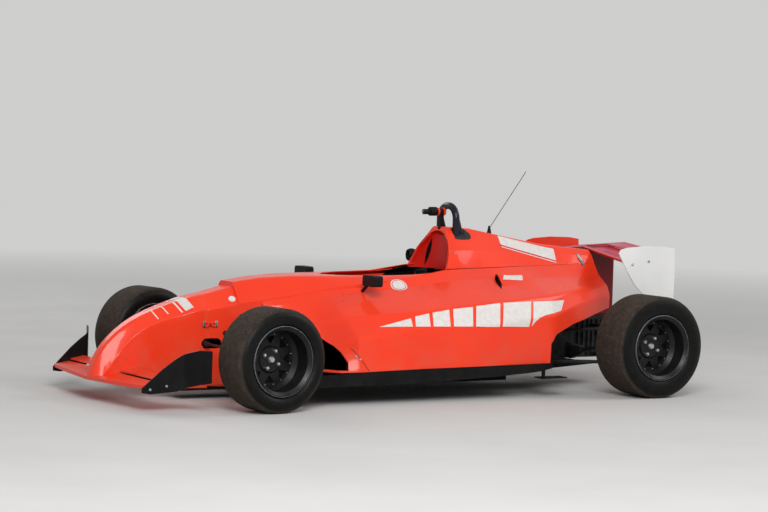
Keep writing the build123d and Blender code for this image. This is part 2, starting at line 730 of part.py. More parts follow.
def build_steering():
    centre, lower = column_line()
    run = (lower - centre).normalized()
    face = Plane(centre, z_dir=run * -1)
    wheel = face * Torus(steering_wheel_radius - 14, 14)
    wheel += face * Pos(0, 0, -8) * Cylinder(34, 24)
    for angle in (0, 180, 270):
        wheel += face * Rot(Z=angle) * Pos(steering_wheel_radius / 2, 0, -6) * Box(steering_wheel_radius - 26, 26, 6)
    wheel += rod(centre, lower, column_radius)
    save("steering_wheel", wheel)
    shift = steering_arm * math.sin(math.radians(parked_steer))
    bar = rod(at(rack_ahead, -175 + shift, rack_height), at(rack_ahead, 175 + shift, rack_height), 13)
    for side in (1, -1):
        eye_y = side * kingpin_half() + shift
        bar += rod(at(rack_ahead, side * 170 + shift, rack_height), at(rack_ahead, eye_y - side * 14, rack_height), 7)
        eye = Pos(*at(rack_ahead, eye_y, rack_height)) * Cylinder(17, 12)
        bore = Pos(*at(rack_ahead, eye_y, rack_height)) * Cylinder(11.5, 40)
        bar = bar + eye - bore
    save("steering_rack", bar)
    housing = rod(at(rack_ahead, -110, rack_height), at(rack_ahead, 110, rack_height), 21)
    housing -= rod(at(rack_ahead, -120, rack_height), at(rack_ahead, 120, rack_height), 13 + pin_clearance)
    for side in (1, -1):
        foot = box_between((nose_seam, side * 90 - 12, rack_height - 18),
                           (rack_ahead - 15, side * 90 + 12, rack_height + 18))
        housing += foot
    save("steering_rack_housing", housing)


def build_front_wing(nose):
    def plate_y(ahead):
        """Inner face of the front endplate at a place along it."""
        slope = (endplate_bend[1] - endplate_tip[1]) / (endplate_tip[0] - endplate_bend[0])
        return endplate_tip[1] + (endplate_tip[0] - ahead) * slope - endplate_thickness * 0.51 - seat_gap
    plan = [(694, 0), (634, plate_y(634)), (540, plate_y(540))]
    plan += [(ahead, -y) for ahead, y in reversed(plan) if y]
    blade = plan_profile(plan, 60, 200)
    blade &= side_profile([(700, 129.2), (540, 150), (540, 146), (600, 128), (660, 114), (700, 112)], -800, 800)
    save("front_wing", blade)
    flap_plan = [(532, 70), (532, plate_y(532)), (446, plate_y(446)), (446, 70)]
    flap = plan_profile(flap_plan, 60, 300)
    flap &= side_profile([(532, 156), (530, 163), (446, 176), (446, 173), (500, 158)], -10, 800)
    flap = largest(flap - nose)
    save("front_wing_flaps", both_sides(flap))
    line = [endplate_tip, endplate_bend, (372, 700), (350, 765)]
    path = FilletPolyline(*[(at(ahead).X, y) for ahead, y in line], radius=[40, 30])
    plate = extrude(trace(path, endplate_thickness), amount=400)
    outline = [(642, 100), (640, 124), (580, 178), (529, 224), (470, 268), (418, 300), (380, 322),
               (340, 326), (340, 170), (372, 150), (456, 106), (596, 93)]
    plate &= side_profile(outline, 0, 900)
    save("front_wing_endplates", both_sides(largest(plate)))


def wing_section(y, drop, corners):
    """Wing section as a closed face: upper arc, blunt rear edge, lower arc, round nose."""
    nose_top, upper, tail_top, tail_low, lower, nose_low, nose_tip = [(at(a).X, z - drop) for a, z in corners]
    edges = [ThreePointArc(nose_top, upper, tail_top), Line(tail_top, tail_low),
             ThreePointArc(tail_low, lower, nose_low), ThreePointArc(nose_low, nose_tip, nose_top)]
    plane = Plane((0, y, 0), x_dir=(1, 0, 0), z_dir=(0, -1, 0))
    return plane * make_face(edges)


def build_rear_wing():
    wings = {}
    for name, root, tip in (("rear_wing", main_root, main_tip), ("rear_wing_flap", flap_section, flap_section)):
        half = loft([wing_section(0, 0, root), wing_section(rear_wing_half - seat_gap, wing_tip_drop, tip)])
        wings[name] = half + mirrored(half)
        save(name, wings[name])
    outline = [(-2372, 790), (-2385, 812), (-2440, 824), (-2560, 832), (-2700, 828), (-2768, 818),
               (-2774, 700), (-2770, 505), (-2640, 505), (-2547, 559), (-2490, 610), (-2432, 692)]
    plate = side_profile(outline, rear_wing_half, rear_wing_half + endplate_thickness)
    save("rear_wing_endplates", both_sides(plate))
    pylon = box_between((-2682, -18, gearbox_top + seat_gap), (-2480, 18, 800))
    pylon = fillet(pylon.edges().filter_by(Axis.Z), 12)
    parts = solids_of(pylon - wings["rear_wing"] - wings["rear_wing_flap"])
    pylon = min(parts, key=lambda solid: solid.center().Z)
    save("rear_wing_pylon", pylon)


def build_engine_and_gearbox():
    engine_rear = tub_rear - 410
    engine = box_between((engine_rear, -engine_half, 132), (tub_rear - seat_gap, engine_half, 520))
    save("engine", engine)
    case_rear = -2690
    bell_rear = differential_ahead + 55
    gearbox = box_between((bell_rear, -150, gearbox_bottom), (engine_rear - seat_gap, 150, 380))
    gearbox += box_between((case_rear, -gearbox_half, gearbox_bottom), (bell_rear + 10, gearbox_half, gearbox_top))
    for ahead in (-2385, -2420, -2455, -2485, -2520, -2555, -2590):
        gearbox += box_between((ahead - 4, -gearbox_half - 10, 175), (ahead + 4, gearbox_half + 10, 380))
    left, right = [at(differential_ahead, side * flange_half, differential_height) for side in (1, -1)]
    gearbox += rod(left, right, 46)
    eye = Plane(at(-2735, -6, 245), z_dir=(0, 1, 0)) * Circle(28)
    gearbox += extrude(eye, amount=12) + box_between((-2735, -6, 217), (case_rear + 2, 6, 273))
    gearbox -= rod(at(-2735, -20, 245), at(-2735, 20, 245), tow_eye_radius)
    save("gearbox", gearbox)
    light = box_between((case_rear - 32, -45, 290), (case_rear, 45, 345))
    save("rain_light", light)
    save("driveshafts", both_sides(build_driveshaft()))
    save("exhaust", build_exhaust())
    return gearbox, engine


def build_driveshaft():
    """Shaft from the gearbox's flange to the upright, with a ribbed boot at each end."""
    flange = at(differential_ahead, flange_half + seat_gap, differential_height)
    inner = flange + Vector(0, boot_length * 0.18, 0)
    outer = at(-table_wheelbase, rear_joint_half() - 30, rear_tyre_radius)
    run = (outer - inner).normalized()
    shaft = rod(flange, inner, 40) + rod(inner, outer, shaft_radius)
    for start, facing, wide in ((inner, run, 42), (outer, run * -1, 38)):
        boot = Plane(start, z_dir=facing)
        shaft += loft([boot * Circle(wide - 4), boot.offset(boot_length) * Circle(18)])
        for number in range(4):
            radius = wide - number * 5
            shaft += extrude(boot.offset(number * boot_length / 4) * Circle(radius), amount=boot_length / 8)
    return shaft


def build_exhaust():
    points = [at(-1800, -engine_half - seat_gap, 430), at(-1800, -250, 430), at(-2100, -250, 470),
              at(-2400, -230, 500)]
    return tube_path(points, [40, 60], 26)


def build_floor(tub_outer):
    plan = floor_plan + [(ahead, -y) for ahead, y in reversed(floor_plan) if y]
    outline = [(at(ahead).X, y) for ahead, y in plan]
    face = Plane.XY.offset(floor_height - 20) * make_face(Polyline(*outline, close=True))
    slab = extrude(face, amount=160)
    rear = floor_plan[-1][0]
    inner_half = engine_half + running_gap
    level = [(floor_line[0][0], floor_height), (rear, floor_height)]
    level += [(ahead, z + floor_thickness) for ahead, z in reversed(level)]
    rising = floor_line + [(ahead, z + floor_thickness) for ahead, z in reversed(floor_line)]
    wall = [(-980, floor_height), (rear, floor_height)]
    wall += [(ahead, z + floor_thickness) for ahead, z in reversed(floor_line) if ahead <= -980]
    sides = (slab & side_profile(rising, inner_half, 800)) + side_profile(wall, inner_half, inner_half + 6)
    skirt = floor_line + [(ahead, z_low - seat_gap) for ahead, *_, z_low in reversed(pod_rows) if ahead >= rear]
    band = slab - extrude(offset(face, -skirt_thickness), amount=200)
    band = (band & side_profile(skirt, 100, 800)) - box_between((rear - 50, 0, 0), (rear + 50, 590, 400))
    band -= box_between((-290, 0, 0), (0, 800, 400))
    sides += band
    sides += box_between((-1935, 556, 108), (-1765, 632, 114)) + box_between((-1804, 592, 110), (-1788, 606, 164))
    floor = (slab & side_profile(level, -inner_half - 6, inner_half + 6)) + sides + mirrored(sides)
    floor -= tub_outer
    keel = plank_top - plank_thickness
    floor += box_between((tub_rear, -plank_half, keel), (-240, plank_half, plank_top))
    floor += box_between((-250, -plank_half + 22, keel), (205, plank_half - 22, plank_top))
    floor += box_between((rear, -plank_half, keel), (tub_rear, plank_half, floor_height + 5))
    diffuser = side_profile([(rear, 105), (rear, 115), (-2380, 145), (-2380, 139)], -250, 250)
    floor += diffuser
    save("floor", floor)


def build_radiators():
    front, rear = -905, -960
    low = 112 + floor_thickness + seat_gap
    radiator = box_between((rear, 290, low), (front, 560, 430))
    save("radiators", both_sides(radiator))


def build_fittings(tub_outer, cover, pod):
    hoop_z = hoop_top - hoop_tube / 2
    seat_z = 648 + seat_gap
    legs = [(185, seat_z - 12), (hoop_half + 0.5, 800), (hoop_half, hoop_z)]
    points = [at(hoop_ahead, -y, z) for y, z in legs] + [at(hoop_ahead, y, z) for y, z in reversed(legs)]
    hoop = tube_path(points, [80, 76, 76, 80], hoop_tube / 2)
    for side in (1, -1):
        hoop += rod(at(hoop_ahead - 6, side * hoop_half, 975), at(-1630, side * hoop_half, seat_z - 5), 12)
    save("roll_hoop", largest(hoop - tub_outer))
    camera = rod(at(-1354, 0, 1001), at(-1400, 0, 1001), 15) + rod(at(-1400, 0, 1001), at(-1495, 0, 1001), 20)
    camera += box_between((-1484, -13, 900), (-1460, 13, 990))
    save("onboard_camera", largest(camera - cover))
    base = Pos(*at(-1801, 0, 0)) * loft([Plane.XY.offset(872) * Circle(15), Plane.XY.offset(922) * Circle(5)])
    whip = rod(at(-1800, 0, 905), at(-2043, 0, 1235), 1.8)
    save("antenna", largest(base + whip - cover))
    mirror_shell = box_between((-834, 316, 612), (-782, 446, 672))
    mirror_shell = fillet(mirror_shell.edges().filter_by(Axis.X), 16)
    stalk = rod(at(-806, 264, 570), at(-808, 362, 640), 9)
    mirrors = largest(mirror_shell + stalk - pod)
    save("mirrors", both_sides(mirrors))
    seat = side_profile([(-820, 92), (-1120, 92), (-1352, 560), (-1368, 560), (-1142, 86), (-820, 86)], -170, 170)
    save("seat", seat)


def main():
    os.makedirs("parts", exist_ok=True)
    nose, tub, cowl, pod, cover, tub_outer = build_body()
    save("nose_cone", nose)
    save("monocoque", tub)
    save("cockpit_cowl", cowl)
    save("sidepod_left", pod)
    save("sidepod_right", mirrored(pod))
    save("engine_cover", cover)
    build_front_wing(nose)
    build_rear_wing()
    gearbox, engine = build_engine_and_gearbox()
    build_floor(tub_outer)
    build_radiators()
    build_fittings(tub_outer, cover, pod)
    build_steering()
    build_suspension(tub_outer, gearbox, engine)
    build_wheels()


main()
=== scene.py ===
import json
import math

import bmesh
import bpy
from mathutils import Matrix, Vector
from mathutils.bvhtree import BVHTree


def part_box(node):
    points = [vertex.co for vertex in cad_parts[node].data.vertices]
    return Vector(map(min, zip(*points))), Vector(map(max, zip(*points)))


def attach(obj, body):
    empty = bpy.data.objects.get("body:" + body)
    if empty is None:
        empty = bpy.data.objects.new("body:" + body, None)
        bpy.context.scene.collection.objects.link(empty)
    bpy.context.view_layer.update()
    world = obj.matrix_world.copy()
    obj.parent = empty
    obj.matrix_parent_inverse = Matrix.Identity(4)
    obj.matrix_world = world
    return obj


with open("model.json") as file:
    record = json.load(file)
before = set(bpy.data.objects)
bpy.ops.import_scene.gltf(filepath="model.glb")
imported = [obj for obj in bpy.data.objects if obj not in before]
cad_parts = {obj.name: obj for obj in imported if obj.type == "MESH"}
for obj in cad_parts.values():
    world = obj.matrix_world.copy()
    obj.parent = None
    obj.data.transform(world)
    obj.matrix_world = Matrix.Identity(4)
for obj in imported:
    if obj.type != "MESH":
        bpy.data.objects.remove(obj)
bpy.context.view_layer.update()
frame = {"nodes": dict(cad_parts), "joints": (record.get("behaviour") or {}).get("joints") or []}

# Open wheel racing car: finishes, stickers and small trim.
# +X points at the nose, +Y at the driver's left, +Z up. Metres, but the outlines and places of the pieces
# are in millimetres, as (ahead of the front axle, y, z).
nodes = frame["nodes"]
joints = {joint["name"]: joint for joint in frame["joints"]}
corners = ("front_left", "front_right", "rear_left", "rear_right")
front_axle_x = joints["left_wheel_steer"]["pos_m"][0]

# Camera: solved from the photograph
camera_place = Vector((front_axle_x + 6.20188, 12.15189, 1.57203))
camera_yaw, camera_pitch, camera_roll = -2.1121, -0.0578, 0.029
camera_focal_pixels = 2540.69
frame_width_pixels = 768.0
sensor_width = 36.0
view_distance = 200.0

# Studio
backdrop_colour = (0.62, 0.62, 0.615)
world_strength = 0.36
floor_half_size = 60.0
floor_fade = (4.5, 13.0)
lights = [  # name, place, target, size, power
    ("key_light", (4.0, 8.0, 5.6), (0, 0, 0.3), (4.0, 4.0), 680.0),
    ("rear_light", (-6.0, 3.0, 5.0), (-0.5, 0, 0.4), (4.0, 3.0), 150.0),
    ("far_light", (1.0, -7.0, 5.0), (0, 0, 0.4), (5.0, 3.0), 110.0),
]

# Leaning front of the headrest arch: foot and head as (ahead, z), and the back wall of its hollow
arch_foot, arch_head = (-1.376, 0.650), (-1.468, 0.925)
arch_lean = (arch_head[0] - arch_foot[0]) / (arch_head[1] - arch_foot[1])
hollow_back = -1.4865

# Foot of the painted lip in the cockpit's opening, as (ahead, z): at the headrest and in front
lip_back, lip_front = (-1.34, 0.700), (-1.12, 0.580)

# Opening in the engine cover's front as (half width, z), in millimetres
arch_opening = [(205.0, 690.0), (163.0, 790.0), (54.0, 899.0)]

# Colours
orange_shades = (0.90, 0.050, 0.016), (0.86, 0.042, 0.013)
dust_colour = (0.30, 0.17, 0.11)
# Black of the insides, also used as painted shade on the tub's outer walls in the ducts
inside_black_and_shade = (0.004, 0.004, 0.004)
# Darker reds of the headrest's hollow and of its bowl: painted shade on the orange paint
hollow_shade_red = (0.52, 0.010, 0.007)
bowl_shade_red = (0.60, 0.010, 0.006)

# Stickers: gap above the paint, thickness, how finely they follow the surface, how far off the search for the
# surface starts, and how far below the outline it may lie under a bridged one
sticker_lift, sticker_thickness, sticker_step = 0.0007, 0.0004, 0.008
sticker_reach, sticker_drop = 0.35, 0.015

# Wheel fittings, from the axle and the wheel's middle plane
nut_circle, nut_radius, nut_height = 0.050, 0.0105, 0.0088
nut_turn = math.radians(61)
cap_radius = 0.0195
flange_edge = (0.1806, 0.1814)
wheel_face = {"front": -0.020, "rear": 0.010}
bolt_circle, bolt_count, bolt_radius, bolt_height = 0.132, 16, 0.0036, 0.003
# Dark ring behind each wheel's windows, painted shade: outer and inner radius, depth behind the face,
# thickness
shade_ring_radii, shade_ring_depth, shade_ring_thickness = (0.128, 0.070), 0.0125, 0.0015
screw_height, screw_sink, search_height = 0.0035, 0.0004, 0.05

# Sharp edges below this angle shade smooth
smooth_angle = math.radians(32)
edge_softness = 0.0012
weld_distance = 0.00002

# Ways that panels face
side_facing = (0.0, 1.0, 0.0)
cover_facing = (-0.06, 0.72, 0.69)
ahead_facing = (1, 0, 0)


def ahead(distance):
    """X of a place given as a distance ahead of the front axle."""
    return front_axle_x + distance


# Building blocks of materials

class Field:
    """A value that varies over a surface: a node's output. Sums, products and comparisons give new ones."""

    def __init__(self, graph, socket):
        self.graph, self.socket = graph, socket

    def __add__(self, other):
        return self.graph.maths("ADD", self, other)

    def __sub__(self, other):
        return self.graph.maths("SUBTRACT", self, other)

    def __rsub__(self, other):
        return self.graph.maths("SUBTRACT", other, self)

    def __mul__(self, other):
        return self.graph.maths("MULTIPLY", self, other)

    def __abs__(self):
        return self.graph.maths("ABSOLUTE", self)

    def __lt__(self, other):
        return self.graph.maths("LESS_THAN", self, other)

    def __gt__(self, other):
        return self.graph.maths("GREATER_THAN", self, other)

    def __and__(self, other):
        """Product: 1 where both masks are."""
        return self.graph.maths("MULTIPLY", self, other)

    def __or__(self, other):
        """The larger: 1 where either mask is."""
        return self.graph.maths("MAXIMUM", self, other)

    def remap(self, low, high, to_low, to_high):
        return self.graph.add("MapRange", {"Value": self, "From Min": low, "From Max": high,
                                           "To Min": to_low, "To Max": to_high})

    def ramp(self, *stops):
        """Colour between two stops of (value, colour)."""
        colours = self.graph.add("ValToRGB", {"Fac": self})
        for element, (place, colour) in zip(colours.socket.node.color_ramp.elements, stops):
            element.position = place
            element.color = (*colour, 1.0)
        return colours

    def mix(self, first, second):
        """First colour where the field is 0, second where it is 1."""
        return self.graph.add("Mix", {"Factor": self, 6: first, 7: second}, 2, data_type="RGBA")

    def parts(self):
        """X, Y and Z of a vector."""
        first = self.graph.add("SeparateXYZ", {"Vector": self})
        return [Field(self.graph, output) for output in first.socket.node.outputs]


class Graph:
    """Node tree of a material or world. Inputs take constants, colours or fields."""
    surface_inputs = {"colour": "Base Color", "roughness": "Roughness", "metallic": "Metallic",
                      "specular": "Specular IOR Level", "coat": "Coat Weight",
                      "coat_roughness": "Coat Roughness", "sheen": "Sheen Weight"}

    def __init__(self, owner):
        owner.use_nodes = True
        self.owner, self.tree = owner, owner.node_tree
        self.shader = self.tree.nodes.get("Principled BSDF")

    def feed(self, target, value):
        if isinstance(value, Field):
            self.tree.links.new(value.socket, target)
        elif target.type == "RGBA":
            target.default_value = (*value, 1.0)
        else:
            target.default_value = value

    def add(self, kind, inputs, output=0, operation=None, data_type=None):
        """Output of a new node."""
        node = self.tree.nodes.new("ShaderNode" + kind)
        if operation:
            node.operation = operation
        if data_type:
            node.data_type = data_type
        for name, value in inputs.items():
            self.feed(node.inputs[name], value)
        return Field(self, node.outputs[output])

    def maths(self, operation, *values):
        return self.add("Math", dict(enumerate(values)), operation=operation)

    def place(self):
        """Coordinates fixed to the object, in metres."""
        node = self.tree.nodes.get("Texture Coordinate") or self.tree.nodes.new("ShaderNodeTexCoord")
        return Field(self, node.outputs["Object"])

    def facing(self):
        """The way that the surface faces."""
        return self.add("NewGeometry", {}, "True Normal")

    def noise(self, scale, detail=4.0, roughness=0.55):
        return self.add("TexNoise", {"Scale": scale, "Detail": detail, "Roughness": roughness,
                                     "Vector": self.place()}, "Fac")

    def wave(self, scale, direction, distortion=0.0):
        bands = self.add("TexWave", {"Scale": scale, "Distortion": distortion, "Vector": self.place()}, "Fac")
        bands.socket.node.bands_direction = direction
        return bands

    def length(self, vector):
        return self.add("VectorMath", {0: vector}, "Value", "LENGTH")

    def rays_to_eye(self):
        """1 for what the camera sees straight, in gloss or through glass."""
        camera = self.add("LightPath", {}, "Is Camera Ray")
        outputs = camera.socket.node.outputs
        return camera | Field(self, outputs["Is Glossy Ray"]) | Field(self, outputs["Is Transmission Ray"])

    def surface(self, **values):
        for name, value in values.items():
            self.feed(self.shader.inputs[self.surface_inputs[name]], value)

    def bump(self, height, strength, distance, softened=True):
        """Bump over edges that are softened in the shading. Gives the finished material."""
        inputs = {"Strength": strength, "Distance": distance, "Height": height}
        if softened:
            inputs["Normal"] = edge = self.add("Bevel", {"Radius": edge_softness})
            edge.socket.node.samples = 4
        self.feed(self.shader.inputs["Normal"], self.add("Bump", inputs))
        return self.owner


def new_material(name):
    return Graph(bpy.data.materials.new(name))


def scaled(colour, share):
    return tuple(channel * share for channel in colour)


# Camera, lights and floor

def add_object(name, data):
    thing = bpy.data.objects.new(name, data)
    bpy.context.scene.collection.objects.link(thing)
    return thing


def add_camera():
    forward = Vector((math.cos(camera_pitch) * math.cos(camera_yaw),
                      math.cos(camera_pitch) * math.sin(camera_yaw),
                      math.sin(camera_pitch)))
    right = Vector((math.sin(camera_yaw), -math.cos(camera_yaw), 0.0))
    up = right.cross(forward)
    cosine, sine = math.cos(camera_roll), math.sin(camera_roll)
    turn = Matrix((cosine * right + sine * up, -sine * right + cosine * up, -forward)).transposed()
    data = bpy.data.cameras.new("camera")
    data.sensor_fit = "HORIZONTAL"
    data.sensor_width = sensor_width
    data.lens = camera_focal_pixels / frame_width_pixels * sensor_width
    data.clip_end = view_distance
    camera = add_object("camera", data)
    camera.matrix_world = Matrix.Translation(camera_place) @ turn.to_4x4()
    bpy.context.scene.camera = camera


def add_area_light(name, place, target, size, power):
    data = bpy.data.lights.new(name, "AREA")
    data.shape = "RECTANGLE"
    data.size, data.size_y = size
    data.energy = power
    light = add_object(name, data)
    light.location = place
    light.rotation_euler = (Vector(target) - Vector(place)).to_track_quat("-Z", "Y").to_euler()


def set_world():
    """Even pale light, with the backdrop colour for what the camera and mirrors see."""
    world = bpy.data.worlds.new("studio")
    bpy.context.scene.world = world
    graph = Graph(world)
    graph.tree.nodes.clear()
    lit = graph.add("Background", {"Color": (1.0, 1.0, 1.0), "Strength": world_strength})
    seen = graph.add("Background", {"Color": backdrop_colour, "Strength": 1.0})
    mixed = graph.add("MixShader", {"Fac": graph.rays_to_eye(), 1: lit, 2: seen})
    out = graph.tree.nodes.new("ShaderNodeOutputWorld")
    graph.feed(out.inputs["Surface"], mixed)


def add_floor():
    """Pale floor that runs out into the backdrop's colour far from the car."""
    mesh = bpy.data.meshes.new("floor_sheet")
    sheet = bmesh.new()
    bmesh.ops.create_grid(sheet, x_segments=1, y_segments=1, size=floor_half_size)
    sheet.to_mesh(mesh)
    sheet.free()
    floor = add_object("floor_sheet", mesh)
    graph = new_material("studio_floor")
    colour = graph.noise(1.4, 3.0).ramp((0.3, (0.60, 0.595, 0.585)), (0.7, (0.64, 0.635, 0.625)))
    graph.surface(colour=colour, roughness=0.9, specular=0.1)
    far = graph.length(graph.place()).remap(*floor_fade, 0.0, 1.0)
    glow = graph.add("Emission", {"Color": backdrop_colour})
    lit = Field(graph, graph.shader.outputs["BSDF"])
    mixed = graph.add("MixShader", {"Fac": far * graph.rays_to_eye(), 1: lit, 2: glow})
    graph.feed(graph.tree.nodes["Material Output"].inputs["Surface"], mixed)
    mesh.materials.append(graph.owner)


# Masks: parts of a node that take another colour

def between(source, low, high):
    return (source > low) & (source < high)


def facing_inwards(graph, middle_y, middle_z):
    """Inner side of a shell that runs along X on each side of the car."""
    across, height = graph.place().parts()[1:]
    facing_y, facing_z = graph.facing().parts()[1:]
    out_y = facing_y * graph.maths("SIGN", across)
    return out_y * (abs(across) - middle_y) + facing_z * (height - middle_z) < -0.0005


def below_lip(graph):
    """Below the painted lip of the cockpit's opening, which is deep in front and ends at the headrest."""
    place_x, across, height = graph.place().parts()
    return height < place_x.remap(ahead(lip_back[0]), ahead(lip_front[0]), lip_back[1], lip_front[1])


def tub_inside_and_duct_shade(graph):
    """Inner walls, floor, bulkheads and rim of the tub and the rack's port; black on its outer walls in the
    ducts is painted shade.
    """
    place_x, across, height = graph.place().parts()
    facing_x, facing_y, facing_z = graph.facing().parts()
    bulkhead = (abs(facing_x) > 0.7) & (abs(across) < 0.19)
    # Painted shade: the tub's outer walls inside the sidepods' ducts turn black
    duct_wall_shade = (place_x < ahead(-0.50)) & (height < 0.56)
    rim = between(place_x, ahead(-1.50), ahead(-0.60)) & (facing_z > 0.3)
    walls = facing_inwards(graph, 0.0, 0.33)
    return ((walls | rim) & below_lip(graph)) | bulkhead | duct_wall_shade | rack_port(graph)


def rack_port(graph):
    """Inside of the port for the steering rack in the nose's side."""
    place_x, across, height = graph.place().parts()
    depth = place_x.remap(ahead(0.0), ahead(0.12), 0.134, 0.119) - abs(across)
    return between(place_x, ahead(-0.06), ahead(0.12)) & between(height, 0.24, 0.35) & (depth > 0.0)


def pod_inside(graph):
    """Inner side of a sidepod's panel."""
    place_x = graph.place().parts()[0]
    front = place_x.remap(ahead(-0.97), ahead(-0.25), 0.38, 0.10)
    rear = place_x.remap(ahead(-2.36), ahead(-1.85), 0.10, 0.38)
    return facing_inwards(graph, graph.maths("MINIMUM", front, rear), 0.30)


def cover_inside(graph):
    """Inner side of the engine cover behind the headrest."""
    return (graph.place().parts()[0] < ahead(hollow_back)) & facing_inwards(graph, 0.0, 0.74)


def headrest_hollow_shade(graph):
    """The hollow in front of the engine cover, behind its rim, where a darker red is painted shade."""
    place_x, across, height = graph.place().parts()
    facing_x, facing_y, facing_z = graph.facing().parts()
    wall = (facing_y * across < -0.00001) | (facing_x > 0.6)
    front = (height - arch_foot[1]) * arch_lean + (ahead(arch_foot[0]) - 0.005)
    return wall & (place_x < front) & (place_x > ahead(hollow_back))


def cowl_inside(graph):
    """Underside of the cockpit's cowl below its painted lip."""
    place_x = graph.place().parts()[0]
    return between(place_x, ahead(-1.50), ahead(-0.62)) & facing_inwards(graph, 0.0, 0.55) & below_lip(graph)


def plate_inside(graph):
    """Inner faces of the rear wing's endplates."""
    return graph.facing().parts()[1] * graph.place().parts()[1] < 0.0


def wing_top_shade_tint(graph):
    """Upper faces of the rear wing, painted a purplish dark red that stands for shade and reflected sky."""
    return graph.facing().parts()[2] > 0.3


# Finishes

def body_paint(name, colour, dark_colour, coat=0.28, dirt=0.5, masks=()):
    """Gloss paint: slight shade drift, orange peel, road dust low down and small scuffs.
    Each mask is a function that gives where another colour takes over, and that colour."""
    graph = new_material(name)
    cloud = graph.noise(9.0, 6.0, 0.7)
    dust = graph.place().parts()[2].remap(0.05, 0.40, 1.0, 0.0) * cloud.remap(0.42, 0.72, 0.0, dirt)
    scuffed = graph.noise(75.0, 9.0, 0.75).remap(0.66, 0.72, 0.0, 0.5)
    look = graph.noise(3.0, 2.0).ramp((0.35, dark_colour), (0.65, colour))
    look = scuffed.mix(dust.mix(look, dust_colour), scaled(dark_colour, 0.55))
    for mask, mask_colour in masks:
        look = mask(graph).mix(look, mask_colour)
    graph.surface(colour=look, roughness=cloud.remap(0.3, 0.8, 0.26, 0.42) + dust * 0.3,
                  coat=coat, coat_roughness=0.07, specular=0.15)
    return graph.bump(graph.noise(240.0, 2.0), strength=0.04, distance=0.0004)


def woven_composite(name, colour, roughness=0.42):
    """Satin black composite with a fine twill weave and a little road dust."""
    graph = new_material(name)
    wave = graph.wave(160.0, "DIAGONAL", distortion=0.4)
    brighter = tuple(channel + 0.001 for channel in scaled(colour, 1.6))
    cloud = graph.noise(12.0, 6.0, 0.7)
    dust = graph.place().parts()[2].remap(0.04, 0.3, 1.0, 0.15) * cloud.remap(0.45, 0.8, 0.0, 0.10)
    graph.surface(colour=dust.mix(wave.ramp((0.4, colour), (0.6, brighter)), (0.16, 0.13, 0.10)),
                  roughness=cloud.remap(0.3, 0.8, roughness - 0.06, roughness + 0.16), specular=0.1)
    return graph.bump(wave, strength=0.12, distance=0.0003)


def plain_metal(name, colour, roughness, metallic=1.0, wear_colour=None):
    """Metal with uneven sheen, grime in patches and fine grain."""
    graph = new_material(name)
    cloud = graph.noise(22.0, 7.0, 0.65)
    graph.surface(colour=cloud.ramp((0.38, wear_colour or scaled(colour, 0.45)), (0.62, colour)),
                  metallic=metallic, roughness=cloud.remap(0.3, 0.75, roughness + 0.18, roughness))
    return graph.bump(graph.noise(600.0, 3.0), strength=0.15, distance=0.0003)


def wheel_spin(corner):
    """Place and axis of a corner's wheel."""
    joint = joints[corner + "_wheel_spin"]
    return Vector(joint["pos_m"]), Vector(joint["axis"])


def wheel_outwards(corner):
    """Place of a corner's wheel and its axis away from the car."""
    centre, axis = wheel_spin(corner)
    return centre, axis if axis.y * centre.y > 0 else -axis


def wheel_coordinates(graph, corner):
    """Coordinates with the wheel's axle along Y and its centre at zero, and the distance from the axle."""
    centre, axis = wheel_spin(corner)
    local = graph.add("Mapping", {"Location": centre, "Rotation": (0.0, 0.0, math.atan2(-axis.x, axis.y)),
                                  "Vector": graph.place()})
    local.socket.node.vector_type = "TEXTURE"
    flat = graph.add("VectorMath", {0: local, 1: (1.0, 0.0, 1.0)}, "Vector", "MULTIPLY")
    return local, graph.length(flat)


def racing_tyre(name, corner, radius):
    """Slick tyre: black sidewall with moulded rings, brown scuffed tread with pick-up."""
    graph = new_material(name)
    distance = wheel_coordinates(graph, corner)[1]
    tread = distance.remap(radius - 0.020, radius - 0.006, 0.0, 1.0)
    cloud = graph.noise(28.0, 8.0, 0.7)
    grit = graph.noise(240.0, 3.0, 0.6)
    wall_colour = cloud.ramp((0.35, (0.004, 0.004, 0.004)), (0.7, (0.009, 0.0088, 0.0085)))
    tread_colour = cloud.ramp((0.3, (0.024, 0.019, 0.015)), (0.7, (0.060, 0.045, 0.035)))
    speckled = grit.remap(0.63, 0.70, 0.0, 0.8).mix(tread_colour, (0.30, 0.25, 0.20))
    graph.surface(colour=tread.mix(wall_colour, speckled),
                  roughness=cloud.remap(0.3, 0.8, 0.36, 0.5) + tread * 0.45, specular=0.12)
    rings = graph.maths("SINE", distance * 1500.0) * (1.0 - tread)
    return graph.bump(rings * 0.12 + grit * tread * 2.0, strength=0.35, distance=0.0012)


def nut_mask(graph, local, distance, face):
    """1 on the four nuts and the hub cap, which stand out from the wheel's pad."""
    turned = graph.add("Mapping", {"Rotation": (0.0, -nut_turn, 0.0), "Vector": local})
    side_x, outwards, side_z = turned.parts()
    first, second = abs(side_x), abs(side_z)
    along = (first | second) - nut_circle
    aside = graph.maths("MINIMUM", first, second)
    near_nut = along * along + aside * aside < nut_radius ** 2
    return (near_nut | (distance < cap_radius)) & (outwards > face + nut_height)


def wheel_paint(name, corner):
    """Satin black wheel paint with a bare flange edge and plated nuts."""
    graph = new_material(name)
    local, distance = wheel_coordinates(graph, corner)
    cloud = graph.noise(30.0, 6.0, 0.7)
    paint = cloud.ramp((0.35, (0.006, 0.006, 0.006)), (0.7, (0.013, 0.013, 0.014)))
    bare = distance.remap(*flange_edge, 0.0, 1.0) * cloud.remap(0.35, 0.55, 0.35, 1.0)
    metal = bare | nut_mask(graph, local, distance, wheel_face[corner.split("_")[0]])
    graph.surface(colour=metal.mix(paint, (0.52, 0.53, 0.54)), metallic=metal * 0.85,
                  roughness=cloud.remap(0.3, 0.8, 0.30, 0.46), specular=0.25)
    return graph.bump(graph.noise(420.0, 2.0), strength=0.08, distance=0.0003)


